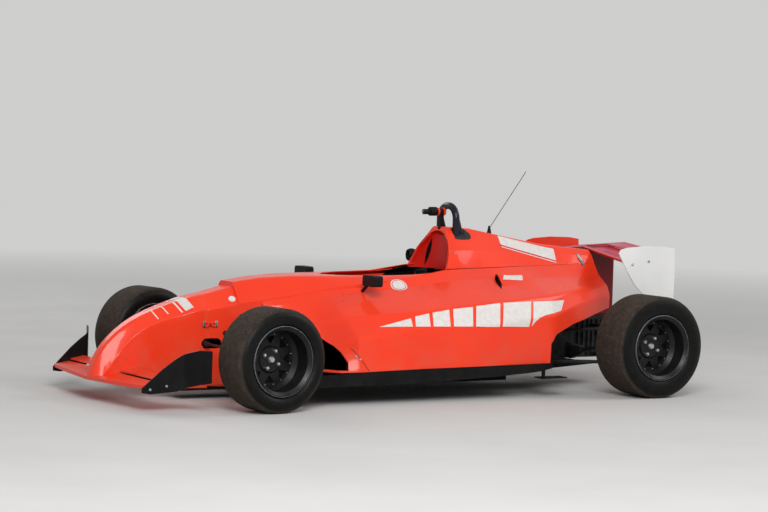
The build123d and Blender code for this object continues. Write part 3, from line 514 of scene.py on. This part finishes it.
def brake_iron(name, corner):
    """Swept brake disc with turned grooves."""
    graph = new_material(name)
    distance = wheel_coordinates(graph, corner)[1]
    cloud = graph.noise(24.0, 6.0)
    graph.surface(colour=cloud.ramp((0.35, (0.12, 0.09, 0.07)), (0.65, (0.34, 0.33, 0.32))), metallic=0.9,
                  roughness=cloud.remap(0.3, 0.7, 0.5, 0.3))
    return graph.bump(graph.maths("SINE", distance * 5200.0), strength=0.2, distance=0.0002)


def soft_black(name, colour, roughness=0.8):
    """Padded cover or suede with a fine nap."""
    graph = new_material(name)
    cloud = graph.noise(18.0, 5.0)
    graph.surface(colour=cloud.ramp((0.35, colour), (0.7, scaled(colour, 1.8))),
                  roughness=roughness, sheen=0.25)
    return graph.bump(graph.noise(500.0, 2.0), strength=0.3, distance=0.0006)


def mirror_glass(name):
    """Silvered glass with faint smears."""
    graph = new_material(name)
    cloud = graph.noise(30.0, 5.0)
    graph.surface(colour=cloud.ramp((0.4, (0.50, 0.53, 0.56)), (0.7, (0.62, 0.65, 0.68))), metallic=1.0,
                  roughness=cloud.remap(0.3, 0.8, 0.04, 0.14))
    return graph.bump(cloud, strength=0.02, distance=0.0002, softened=False)


def sticker_film(name, colour):
    """Printed film: faint grime and a soft gloss."""
    graph = new_material(name)
    cloud = graph.noise(40.0, 7.0, 0.7)
    graph.surface(colour=cloud.ramp((0.35, scaled(colour, 0.86)), (0.6, colour)),
                  roughness=cloud.remap(0.3, 0.8, 0.32, 0.5), specular=0.3)
    return graph.bump(graph.noise(500.0, 2.0), strength=0.05, distance=0.0002, softened=False)


def finned_core(name):
    """Radiator core: close upright fins between flat tubes."""
    graph = new_material(name)
    place_x, across, height = graph.place().parts()
    both = graph.maths("SINE", across * 2100.0) | graph.maths("SINE", height * 520.0)
    colour = both.remap(-1.0, 1.0, 0.0, 1.0).ramp((0.3, (0.01, 0.01, 0.01)), (0.8, (0.16, 0.16, 0.165)))
    graph.surface(colour=colour, metallic=0.6, roughness=0.5)
    return graph.bump(both, strength=0.4, distance=0.0008)


def ribbed_lens(name, colour):
    """Ribbed lens plastic."""
    graph = new_material(name)
    wave = graph.wave(60.0, "Y")
    graph.surface(colour=wave.ramp((0.2, scaled(colour, 0.6)), (0.8, colour)), roughness=0.12, coat=0.6)
    return graph.bump(wave, strength=0.3, distance=0.0008)


def make_finishes():
    orange_masks = {
        "orange": [], "tub": [(tub_inside_and_duct_shade, inside_black_and_shade)], "cowl": [(cowl_inside, inside_black_and_shade)],
        "nose": [(rack_port, inside_black_and_shade)], "pod": [(pod_inside, inside_black_and_shade)],
        "cover": [(cover_inside, inside_black_and_shade), (headrest_hollow_shade, hollow_shade_red)],
    }
    made = {name: body_paint(name + "_paint", *orange_shades, masks=masks)
            for name, masks in orange_masks.items()}
    # Bowl of the headrest, with a darker red in its hollow as painted shade
    made["bowl"] = body_paint("bowl_paint", *orange_shades, coat=0.04, masks=[(headrest_hollow_shade, bowl_shade_red)])
    made["wing"] = body_paint("wing_paint", (0.62, 0.030, 0.020), (0.56, 0.024, 0.016),
                              masks=[(wing_top_shade_tint, (0.50, 0.034, 0.085))])
    # Dark maroon of the pylon: painted shade on a red plate
    made["pylon"] = body_paint("pylon_paint", (0.20, 0.006, 0.010), (0.16, 0.005, 0.008))
    made["endplate"] = body_paint("endplate_paint", (0.80, 0.80, 0.79), (0.74, 0.74, 0.73), dirt=0.2,
                                  masks=[(plate_inside, (0.72, 0.045, 0.020))])
    made["hoop"] = body_paint("hoop_paint", (0.008, 0.010, 0.022), (0.005, 0.006, 0.014))
    made["composite"] = woven_composite("black_composite", (0.0045, 0.0045, 0.005))
    made["plastic"] = woven_composite("black_plastic", (0.006, 0.006, 0.006), roughness=0.45)
    # Near-black sheets laid where openings look dark: painted shade
    made["shield"] = woven_composite("shield_black", (0.0015, 0.0015, 0.0016), roughness=0.7)
    made["alloy"] = plain_metal("cast_alloy", (0.32, 0.32, 0.33), 0.42, wear_colour=(0.07, 0.065, 0.06))
    made["dark_alloy"] = plain_metal("grimy_alloy", (0.055, 0.055, 0.056), 0.5, metallic=0.7,
                                     wear_colour=(0.022, 0.022, 0.022))
    made["tube"] = plain_metal("suspension_tube", (0.020, 0.020, 0.022), 0.4, metallic=0.3,
                               wear_colour=(0.007, 0.007, 0.007))
    made["bright"] = plain_metal("bright_steel", (0.55, 0.55, 0.56), 0.28)
    made["exhaust"] = plain_metal("exhaust_steel", (0.30, 0.22, 0.15), 0.35, wear_colour=(0.09, 0.06, 0.05))
    made["pad"] = soft_black("seat_cover", (0.024, 0.024, 0.026))
    made["grip"] = soft_black("grip_suede", (0.010, 0.010, 0.011), roughness=0.9)
    made["core"] = finned_core("radiator_core")
    made["red_lens"] = ribbed_lens("red_lens", (0.45, 0.01, 0.01))
    made["lens"] = ribbed_lens("dark_glass", (0.010, 0.010, 0.012))
    made["glass"] = mirror_glass("mirror_glass")
    made["white"] = sticker_film("white_film", (0.74, 0.70, 0.67))
    made["black"] = sticker_film("black_film", (0.006, 0.006, 0.006))
    made["red"] = sticker_film("red_film", (0.62, 0.010, 0.012))
    return made


finishes = make_finishes()

# Nodes that wear each finish
worn_by = {
    "tub": ("monocoque",), "nose": ("nose_cone",), "cowl": ("cockpit_cowl",), "cover": ("engine_cover",),
    "pod": ("sidepod_left", "sidepod_right"), "orange": ("front_wing", "front_wing_flaps"),
    "wing": ("rear_wing", "rear_wing_flap"), "endplate": ("rear_wing_endplates",),
    "pylon": ("rear_wing_pylon",), "hoop": ("roll_hoop",), "composite": ("floor", "front_wing_endplates"),
    "plastic": ("antenna", "mirrors", "onboard_camera"), "alloy": ("steering_rack_housing",),
    "dark_alloy": ("engine", "gearbox", "rear_uprights", "front_left_upright", "front_right_upright"),
    "tube": ("driveshafts", "front_wishbones", "rear_wishbones", "steering_rack"), "exhaust": ("exhaust",),
    "pad": ("seat",), "grip": ("steering_wheel",), "core": ("radiators",), "red_lens": ("rain_light",),
}


# Smooth shading on the solids' loose triangles

def smoothing_tree():
    """Welds the triangles and keeps only the real edges sharp."""
    tree = bpy.data.node_groups.new("weld_and_smooth", "GeometryNodeTree")
    for side in ("INPUT", "OUTPUT"):
        tree.interface.new_socket("Geometry", in_out=side, socket_type="NodeSocketGeometry")
    start, end, weld, faces, edges, angle, below = (tree.nodes.new(kind) for kind in (
        "NodeGroupInput", "NodeGroupOutput", "GeometryNodeMergeByDistance", "GeometryNodeSetShadeSmooth",
        "GeometryNodeSetShadeSmooth", "GeometryNodeInputMeshEdgeAngle", "FunctionNodeCompare"))
    weld.inputs["Distance"].default_value = weld_distance
    faces.domain, edges.domain = "FACE", "EDGE"
    below.data_type, below.operation = "FLOAT", "LESS_THAN"
    below.inputs["B"].default_value = smooth_angle
    for output, target in ((start.outputs[0], weld.inputs["Geometry"]),
                           (weld.outputs["Geometry"], faces.inputs["Geometry"]),
                           (faces.outputs["Geometry"], edges.inputs["Geometry"]),
                           (angle.outputs["Unsigned Angle"], below.inputs["A"]),
                           (below.outputs["Result"], edges.inputs["Shade Smooth"]),
                           (edges.outputs["Geometry"], end.inputs[0])):
        tree.links.new(output, target)
    return tree


def dress_nodes():
    worn = {node: finishes[finish] for finish, names in worn_by.items() for node in names}
    for corner in corners:
        tyre, rim, disc = (corner + part for part in ("_tyre", "_rim", "_brake_disc"))
        low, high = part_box(tyre)
        worn[tyre] = racing_tyre(tyre + "_rubber", corner, (high.z - low.z) / 2)
        worn[rim] = wheel_paint(rim + "_paint", corner)
        worn[disc] = brake_iron(disc + "_iron", corner)
    tree = smoothing_tree()
    for node in sorted(nodes):
        body = nodes[node]
        body.data.materials.clear()
        body.data.materials.append(worn[node])
        body.modifiers.new("weld and smooth", "NODES").node_group = tree


# Building blocks of pieces

def finish_piece(name, shape, finish, body="chassis"):
    """Makes an object of a shape and lets it ride on a body."""
    bmesh.ops.recalc_face_normals(shape, faces=shape.faces[:])
    mesh = bpy.data.meshes.new(name)
    shape.to_mesh(mesh)
    shape.free()
    mesh.shade_smooth()
    mesh.set_sharp_from_angle(angle=smooth_angle)
    mesh.materials.append(finishes[finish])
    piece = add_object(name, mesh)
    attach(piece, body)
    return piece


def finish_pair(name, shape, finish):
    """The same for a left-hand shape and its mirror image."""
    bmesh.ops.mirror(shape, geom=whole(shape), matrix=Matrix(), merge_dist=0.0, axis="Y")
    finish_piece(name, shape, finish)


def whole(shape):
    return shape.verts[:] + shape.edges[:] + shape.faces[:]


def to_metres(place):
    """X, Y, Z in metres from (ahead, y, z) in millimetres."""
    return Vector((front_axle_x + place[0] / 1000, place[1] / 1000, place[2] / 1000))


def axes_of(facing):
    """A direction, and the directions across and up in the plane that faces it."""
    facing = Vector(facing).normalized()
    across = Vector((0.0, 0.0, 1.0)).cross(facing).normalized()
    return facing, across, facing.cross(across)


def stand_on(place, facing, scale=(1.0, 1.0, 1.0)):
    """Matrix that turns +Z to a direction, at a place."""
    turn = Vector(facing).to_track_quat("Z", "Y").to_matrix().to_4x4()
    return Matrix.Translation(place) @ turn @ Matrix.Diagonal((*scale, 1.0))


def extrude(shape, faces, vector=(0.0, 0.0, 0.0)):
    """Extrudes faces along a vector, and gives the new vertices."""
    raised = bmesh.ops.extrude_face_region(shape, geom=faces)["geom"]
    verts = [item for item in raised if isinstance(item, bmesh.types.BMVert)]
    bmesh.ops.translate(shape, verts=verts, vec=vector)
    return verts


def round_edges(shape, edges, offset, segments):
    bmesh.ops.bevel(shape, geom=list(edges), offset=offset, affect="EDGES", segments=segments, profile=0.5,
                    material=-1)


def surfaces(*names):
    graph = bpy.context.evaluated_depsgraph_get()
    return [BVHTree.FromObject(nodes[name], graph) for name in names]


def surface_below(trees, start, direction):
    """Nearest point of the surfaces from a start, and which way it faces."""
    hits = [tree.ray_cast(start, direction) for tree in trees]
    hits = [hit for hit in hits if hit[0] is not None]
    return min(hits, key=lambda hit: hit[3])[:2] if hits else (None, None)


def lay_flat(shape, outline, facing, trees, lift=sticker_lift, thickness=sticker_thickness, step=sticker_step,
             bridged=False):
    """Cuts a flat outline, given by its corners, and lays it on the surfaces below it.
    A bridged one spans the openings under it."""
    facing, across, up = axes_of(facing)
    places = [to_metres(corner) for corner in outline]
    middle = sum(places, Vector()) / len(places)
    sheet = bmesh.new()
    border = [sheet.verts.new(((place - middle).dot(across), (place - middle).dot(up), 0.0))
              for place in places]
    rim = [sheet.edges.new((border[index - 1], border[index])) for index in range(len(border))]
    bmesh.ops.contextual_create(sheet, geom=rim)
    bmesh.ops.triangulate(sheet, faces=sheet.faces[:])
    for axis in (0, 1):
        low = min(vertex.co[axis] for vertex in border)
        high = max(vertex.co[axis] for vertex in border)
        line = Vector((0.0, 0.0, 0.0))
        line[axis] = 1.0
        for number in range(1, int((high - low) / step) + 1):
            bmesh.ops.bisect_plane(sheet, geom=whole(sheet), plane_co=line * (low + number * step),
                                   plane_no=line)
    bmesh.ops.triangulate(sheet, faces=sheet.faces[:])
    for vertex in sheet.verts:
        start = middle + across * vertex.co.x + up * vertex.co.y + facing * sticker_reach
        place, normal = surface_below(trees, start, -facing)
        fallen = place is None or (start - place).length > sticker_reach + sticker_drop
        if bridged and fallen:
            place = start - facing * sticker_reach
        elif place is None:
            raise RuntimeError("a sticker hangs over the edge")
        vertex.co = place + facing * lift
    extrude(sheet, sheet.faces[:], facing * thickness)
    part = bpy.data.meshes.new("part")
    sheet.to_mesh(part)
    sheet.free()
    shape.from_mesh(part)
    bpy.data.meshes.remove(part)


def line_corners(path, width, facing):
    """Corners of a narrow line along a path."""
    facing = Vector(facing).normalized()
    points = [Vector(point) for point in path]
    left, right = [], []
    for index, point in enumerate(points):
        before, after = points[max(index - 1, 0)], points[min(index + 1, len(points) - 1)]
        aside = (after - before).cross(facing).normalized() * (width / 2)
        left.append(tuple(point + aside))
        right.append(tuple(point - aside))
    return left + right[::-1]


def circle_corners(middle, radius, facing, count=28):
    facing, across, up = axes_of(facing)
    turns = [2 * math.pi * index / count for index in range(count)]
    return [tuple(Vector(middle) + across * radius * math.cos(turn) + up * radius * math.sin(turn))
            for turn in turns]


def almond_corners(foot, head, half_width, facing, steps=12):
    """Corners of a leaf from its foot to its head."""
    foot, head = Vector(foot), Vector(head)
    aside = Vector(facing).normalized().cross(head - foot).normalized() * half_width
    turns = [(foot.lerp(head, index / steps), aside * math.sin(math.pi * index / steps))
             for index in range(steps + 1)]
    return [tuple(middle + reach) for middle, reach in turns] + \
        [tuple(middle - reach) for middle, reach in turns[-2:0:-1]]


def add_screw(shape, place, facing, radius, height):
    """Screw head with a chamfered rim and a small socket."""
    foot = Matrix.Translation((0, 0, height * 0.3))
    made = bmesh.ops.create_cone(shape, cap_ends=True, segments=14, radius1=radius, radius2=radius,
                                 depth=height * 0.6, matrix=stand_on(place, facing) @ foot)
    top = [face for face in {face for vertex in made["verts"] for face in vertex.link_faces}
           if face.normal.dot(Vector(facing).normalized()) > 0.9]
    for inset, rise in ((0.25, 0.4), (0.25, 0.0), (0.06, -0.35)):
        bmesh.ops.inset_region(shape, faces=top, thickness=radius * inset, depth=height * rise)


def add_block(shape, matrix, bevel, segments=3):
    """Rounded block: a unit cube turned and sized by a matrix."""
    made = bmesh.ops.create_cube(shape, size=1.0, matrix=matrix)
    round_edges(shape, {edge for vertex in made["verts"] for edge in vertex.link_edges}, bevel, segments)


def block_between(low, high):
    """Matrix of a block between two corners given as (ahead, y, z) in millimetres."""
    low, high = to_metres(low), to_metres(high)
    return Matrix.Translation((low + high) / 2) @ Matrix.Diagonal((*(high - low), 1.0))


def round_rims(shape, offset, segments):
    """Rounds the sharp edges of a shape."""
    round_edges(shape, [edge for edge in shape.edges
                        if len(edge.link_faces) == 2 and edge.calc_face_angle() > 1.0], offset, segments)


# Stickers and trim

# White stripe along the sidepod, cut into seven slanted parts: corners as (ahead, z), and the y above them
stripe_y = 500
stripe_parts = [
    [(-744, 411), (-926, 456), (-920, 415)],
    [(-951, 467), (-1036, 481), (-1023, 414), (-936, 415)],
    [(-1059, 485), (-1165, 499), (-1148, 412), (-1042, 414)],
    [(-1190, 502), (-1315, 512), (-1291, 409), (-1170, 412)],
    [(-1337, 516), (-1498, 530), (-1467, 403), (-1310, 409)],
    [(-1522, 531), (-1711, 535), (-1672, 398), (-1486, 405)],
    [(-1727, 534), (-1970, 534), (-1921, 480), (-1838, 467), (-1790, 459), (-1750, 447), (-1718, 427),
     (-1690, 400)],
]

# Screws on the left side: place, facing, radius and the panel below
screws = [
    ((-585, 609, 263), (0.59, 0.77, 0.24), 5.5, "sidepod_left"),
    ((-602, 624, 246), (0.42, 0.88, 0.20), 5.5, "sidepod_left"),
    ((-1459, 181, 778), (0.07, 0.91, 0.42), 6.0, "engine_cover"),
    ((-2470, 481, 727), side_facing, 8.0, "rear_wing_endplates"),
    ((-2585, 481, 744), side_facing, 8.0, "rear_wing_endplates"),
    ((512, 583, 134), (0.17, 0.98, 0), 7.0, "front_wing_endplates"),
    ((597, 568, 117), (0.17, 0.98, 0), 7.0, "front_wing_endplates"),
]


def add_stripes():
    pod = surfaces("sidepod_left")
    shape = bmesh.new()
    for part in stripe_parts:
        lay_flat(shape, [(x, stripe_y, z) for x, z in part], side_facing, pod, lift=0.0012, step=0.006)
    finish_pair("side_stripes", shape, "white")


def add_blank_signs():
    """Plates and patches whose lettering is left off."""
    deck = surfaces("sidepod_left", "cockpit_cowl")
    cover = surfaces("engine_cover")
    nose = surfaces("nose_cone", "monocoque")
    white, red = bmesh.new(), bmesh.new()
    lay_flat(white, [(-1815, 63, 869), (-2183, 98, 794), (-2155, 175, 718), (-1808, 124, 807)],
             cover_facing, cover)
    lay_flat(red, [(-1809, 112, 820), (-2160, 163, 730), (-2157, 170, 723), (-1806, 119, 813)],
             cover_facing, cover, lift=2 * sticker_lift)
    disc_place, disc_facing = (-1030, 288, 606), (0.10, 0.62, 0.78)
    for layer, (shape, radius) in enumerate(((white, 48), (red, 41), (white, 37)), 1):
        lay_flat(shape, circle_corners(disc_place, radius, disc_facing), disc_facing, deck,
                 lift=layer * sticker_lift)
    dot_facing = (0.18, 0.72, 0.67)
    lay_flat(white, circle_corners((-90, 121, 534), 19, dot_facing), dot_facing, nose)
    for patch in ([(152, 2, 536), (134, 118, 492), (179, 116, 472), (205, 10, 520)],
                  [(230, 10, 512), (221, 9, 515), (194, 112, 466), (202, 111, 462)],
                  [(299, 2, 489), (292, 2, 492), (266, 89, 456), (271, 89, 453)],
                  [(354, 2, 468), (347, 2, 471), (325, 90, 431), (331, 90, 428)]):
        lay_flat(white, patch, (0.30, 0.45, 0.85), nose)
    lay_flat(white, [(-1706, 300, 661), (-1832, 306, 658), (-1790, 372, 630), (-1656, 372, 634)],
             (0.0, 0.45, 0.89), deck, lift=0.0018, step=0.004)
    finish_pair("blank_sign_white", white, "white")
    finish_pair("blank_sign_red", red, "red")


def add_seams():
    """Panel gap at the pod's front and the hoop's dark surrounds."""
    shape = bmesh.new()
    seam_facing = (0.45, 0.85, 0.25)
    seam = [(-566, 578, 300), (-580, 600, 284), (-596, 618, 261), (-616, 630, 232), (-636, 636, 201),
            (-648, 640, 186)]
    lay_flat(shape, line_corners(seam, 3.2, seam_facing), seam_facing, surfaces("sidepod_left"))
    surround = [(-1497, 116, 850), (-1497, 62, 912), (-1540, 58, 910), (-1582, 62, 900), (-1612, 84, 878),
                (-1612, 104, 858), (-1592, 114, 850), (-1545, 117, 848)]
    lay_flat(shape, surround, (-0.06, 0.76, 0.65), surfaces("engine_cover"), lift=0.0022, step=0.004,
             bridged=True)
    finish_pair("panel_gaps", shape, "black")


def add_fasteners():
    shape = bmesh.new()
    for place, facing, radius, name in screws:
        facing = Vector(facing).normalized()
        spot, normal = surface_below(surfaces(name), to_metres(place) + facing * search_height, -facing)
        add_screw(shape, spot - normal * screw_sink, normal, radius / 1000, screw_height)
    finish_pair("screw_heads", shape, "bright")


def add_nose_catch():
    """Latch over the nose seam: two plated ends with two crossed orange bars between them."""
    ends, tape = bmesh.new(), bmesh.new()
    for front, rear in ((94, 78), (22, 6)):
        add_block(ends, block_between((rear, 140, 388), (front, 153, 422)), 0.003)
    length, climb = 0.062, 0.028
    for rise in (climb, -climb):
        turn = Matrix.Rotation(math.atan2(rise, length), 4, "Y")
        size = Matrix.Diagonal((0.066, 0.004, 0.010, 1.0))
        add_block(tape, Matrix.Translation(to_metres((50, 149.5, 404))) @ turn @ size, 0.0012, segments=2)
    finish_pair("nose_catch_ends", ends, "bright")
    finish_pair("nose_catch_tape", tape, "orange")


def add_cover_strap():
    """Plated strap that holds the engine cover's tail down."""
    trees = surfaces("engine_cover", "sidepod_left")
    shape = bmesh.new()
    strap = [(-2337, 118, 765), (-2342, 147, 732), (-2346, 166, 708), (-2348, 174, 699)]
    buckle = [(-2340, 138, 742), (-2344, 154, 722)]
    for path, width, thickness in ((strap, 18, 0.0022), (buckle, 23, 0.006)):
        lay_flat(shape, line_corners(path, width, cover_facing), cover_facing, trees, thickness=thickness)
    finish_pair("cover_straps", shape, "alloy")


def add_mirror_glass():
    shape = bmesh.new()
    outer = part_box("mirrors")[1].y * 1000
    add_block(shape, block_between((-835.4, outer - 123, 619), (-833.2, outer - 7, 665)), 0.001)
    finish_pair("mirror_glass", shape, "glass")


def add_rim_bolts(corner):
    """Small plated bolts around a wheel's window ring."""
    centre, outward = wheel_outwards(corner)
    outward, across, up = axes_of(outward)
    trees = surfaces(corner + "_rim")
    shape = bmesh.new()
    for index in range(bolt_count):
        turn = 2 * math.pi * (index + 0.5) / bolt_count
        radial = across * math.cos(turn) + up * math.sin(turn)
        spot, normal = surface_below(trees, centre + radial * bolt_circle + outward * 0.16, -outward)
        if spot is not None and normal.dot(outward) > 0.8:
            add_screw(shape, spot - outward * screw_sink, outward, bolt_radius, bolt_height)
    finish_piece(corner + "_rim_bolts", shape, "bright", body=corner + "_wheel")


def add_wheel_shade_ring(corner):
    """Dark ring behind a wheel's windows: a painted shade sheet that darkens what shows through them."""
    centre, outward = wheel_outwards(corner)
    place = centre + outward * (wheel_face[corner.split("_")[0]] - shade_ring_depth)
    shape = bmesh.new()
    for radius in shade_ring_radii:
        bmesh.ops.create_circle(shape, segments=64, radius=radius, matrix=stand_on(place, outward))
    bmesh.ops.bridge_loops(shape, edges=shape.edges[:])
    bmesh.ops.solidify(shape, geom=shape.faces[:], thickness=shade_ring_thickness)
    finish_piece(corner + "_wheel_shield", shape, "shield", body=corner + "_wheel")


def add_scoop_mouth_shades():
    """Dark almond sheets on the deck scoops' mouths: painted shade of their openings."""
    shape = bmesh.new()
    facing = (0.55, 0.45, 0.70)
    mouth = almond_corners((-1603, 445, 595), (-1658, 292, 661), 13, facing)
    lay_flat(shape, mouth, facing, surfaces("sidepod_left"), lift=0.0015, step=0.004)
    finish_pair("scoop_mouths", shape, "shield")


def add_pad(shape, middle, along, width, length, height, channels):
    """Closed pad on a flat base: crowned top, sides that pull in between the corners, sewn channels."""
    side_pull, end_pull, foot_share, seam_depth, seam_width = 0.04, 0.02, 0.15, 0.55, 0.07
    along = Vector(along).normalized()
    across = Vector(side_facing)
    up = along.cross(across)
    flat = bmesh.ops.create_grid(shape, x_segments=36, y_segments=60, size=1.0)
    top = set(extrude(shape, list({face for vertex in flat["verts"] for face in vertex.link_faces})))
    for vertex in list(top) + flat["verts"]:
        x, y = vertex.co.x, vertex.co.y
        crown = (1 - abs(x) ** 5) ** 0.5 * (1 - abs(y) ** 7) ** 0.5
        seam = math.exp(-(((y * channels / 2) % 1.0 - 0.5) / seam_width) ** 2)
        share = foot_share + (1 - foot_share) * crown * (1 - seam_depth * seam)
        rise = height * share if vertex in top else 0.0
        aside = across * x * (1 - side_pull * (1 - y * y)) * width / 2
        place = aside + along * y * (1 - end_pull * (1 - x * x)) * length / 2
        vertex.co = to_metres(middle) + (place + up * rise) / 1000


def add_seat_pads():
    """Thin pads on the seat's shell."""
    for name, middle, along, length, height, channels in (
            ("seat_pad", (-975, 0, 92.4), (1, 0, 0), 260, 15, 4),
            ("back_pad", (-1238, 0, 331), (-232, 0, 468), 430, 17, 6)):
        shape = bmesh.new()
        add_pad(shape, middle, along, 308, length, height, channels)
        finish_piece(name, shape, "pad")


def opening_half(height):
    """Half width of the opening in the engine cover's front at a height, in millimetres."""
    for (low_half, low), (high_half, high) in zip(arch_opening, arch_opening[1:]):
        if height <= high:
            break
    return low_half + (high_half - low_half) * (height - low) / (high - low)


def add_headrest_liner():
    """Smooth bowl with a rounded top, set in the hollow of the headrest, with painted shade on its air slots.
    """
    foot, widest, top, half_width, back = 676.0, 660.0, 896.0, 205, -1481
    outline_power, hollow_power, hollow_root = 0.556, 2.6, 0.75
    thickness, clearance = 0.0006, Vector((0.0008, 0, 0.0003))
    flange = 5  # columns of the flat rim on each side
    cover = surfaces("engine_cover")[0]
    shape = bmesh.new()
    bmesh.ops.create_grid(shape, x_segments=52, y_segments=44, size=1.0)
    columns = sorted({round(vertex.co.x, 4) for vertex in shape.verts})
    rows = sorted({round(vertex.co.y, 4) for vertex in shape.verts})
    last_row, bowl_columns = len(rows) - 1, len(columns) - 1 - 2 * flange
    for vertex in shape.verts:
        column, row = columns.index(round(vertex.co.x, 4)), rows.index(round(vertex.co.y, 4))
        rise = math.sin(math.pi / 2 * row / (last_row - 1))
        height = top + 5 if row == last_row else foot + (top - foot) * rise
        share = min(1.0, (height - widest) / (top - widest))
        half = half_width * (1 - share ** 2) ** outline_power
        across = 2 * (column - flange) / bowl_columns - 1
        face_x = arch_foot[0] * 1000 + (height - arch_foot[1] * 1000) * arch_lean
        if abs(across) < 1.0:
            depth = (face_x - back) * (1 - abs(across) ** hollow_power) ** hollow_root
            place = to_metres((face_x - depth, across * half, height))
            hit = cover.ray_cast(place + Vector((depth / 1000 + 0.03, 0, 0)), Vector((-1, 0, 0)))[0]
            if hit is not None and row < last_row:
                place.x = min(max(place.x, hit.x + 0.0015), to_metres((face_x, 0, 0)).x)
        else:
            beyond = (abs(across) - 1) * bowl_columns / 2 / flange
            reach = half + (opening_half(height) + 4 - half) * beyond
            place = to_metres((face_x, math.copysign(reach, across), height))
        vertex.co = place + clearance
    bmesh.ops.remove_doubles(shape, verts=shape.verts[:], dist=0.0003)
    extrude(shape, shape.faces[:], (-thickness, 0, 0))
    bmesh.ops.recalc_face_normals(shape, faces=shape.faces[:])
    liner = BVHTree.FromBMesh(shape)
    finish_piece("headrest_liner", shape, "bowl")
    # Dark leaves on the bowl: painted shade of its air slots
    slots = bmesh.new()
    facing = (0.75, 0.66, 0.0)
    lay_flat(slots, almond_corners((-1462, -140, 690), (-1468, -80, 852), 13, facing), facing, [liner],
             lift=0.0012, step=0.005)
    finish_pair("headrest_slots", slots, "shield")


def add_side_intake():
    """Small black intake on the right of the headrest."""
    shape = bmesh.new()
    matrix = Matrix.Translation(to_metres((-1425, -232, 742))) @ Matrix.Diagonal((0.042, 0.031, 0.038, 1.0))
    bmesh.ops.create_uvsphere(shape, u_segments=28, v_segments=16, radius=1.0, matrix=matrix)
    bmesh.ops.bisect_plane(shape, geom=whole(shape), plane_co=to_metres((-1402, 0, 0)), plane_no=ahead_facing,
                           clear_outer=True)
    rim = [edge for edge in shape.edges if edge.is_boundary]
    mouth = bmesh.ops.contextual_create(shape, geom=rim)["faces"]
    for thickness, depth in ((0.004, 0.0), (0.001, -0.020)):
        bmesh.ops.inset_region(shape, faces=mouth, thickness=thickness, depth=depth)
    finish_piece("side_intake", shape, "plastic")


def add_camera_trim():
    """Sleeve of the camera, the clips that hold it, and its front glass."""
    sleeve, clips, lens = bmesh.new(), bmesh.new(), bmesh.new()
    for shape, place_x, height, radius, depth, segments in (
            (sleeve, -1417, 1003, 0.0255, 0.046, 32),
            (clips, -1448, 1001, 0.0232, 0.011, 24),
            (clips, -1486, 1001, 0.0232, 0.011, 24)):
        bmesh.ops.create_cone(shape, cap_ends=True, segments=segments, radius1=radius, radius2=radius,
                              depth=depth, matrix=stand_on(to_metres((place_x, 0, height)), ahead_facing))
    round_rims(sleeve, 0.004, 3)
    round_rims(clips, 0.002, 2)
    matrix = stand_on(to_metres((-1353.5, 0, 1001)), ahead_facing, scale=(1.0, 1.0, 0.25))
    bmesh.ops.create_uvsphere(lens, u_segments=24, v_segments=12, radius=0.011, matrix=matrix)
    finish_piece("camera_sleeve", sleeve, "plastic")
    finish_piece("camera_clips", clips, "orange")
    finish_piece("camera_lens", lens, "lens")


# Scene

bpy.context.scene.view_settings.view_transform = "Standard"
add_camera()
set_world()
for light in lights:
    add_area_light(*light)
add_floor()
dress_nodes()
add_stripes()
add_blank_signs()
add_seams()
add_fasteners()
add_nose_catch()
add_cover_strap()
add_mirror_glass()
for corner in corners:
    add_rim_bolts(corner)
for corner in corners:
    add_wheel_shade_ring(corner)
add_scoop_mouth_shades()
add_headrest_liner()
add_seat_pads()
add_side_intake()
add_camera_trim()
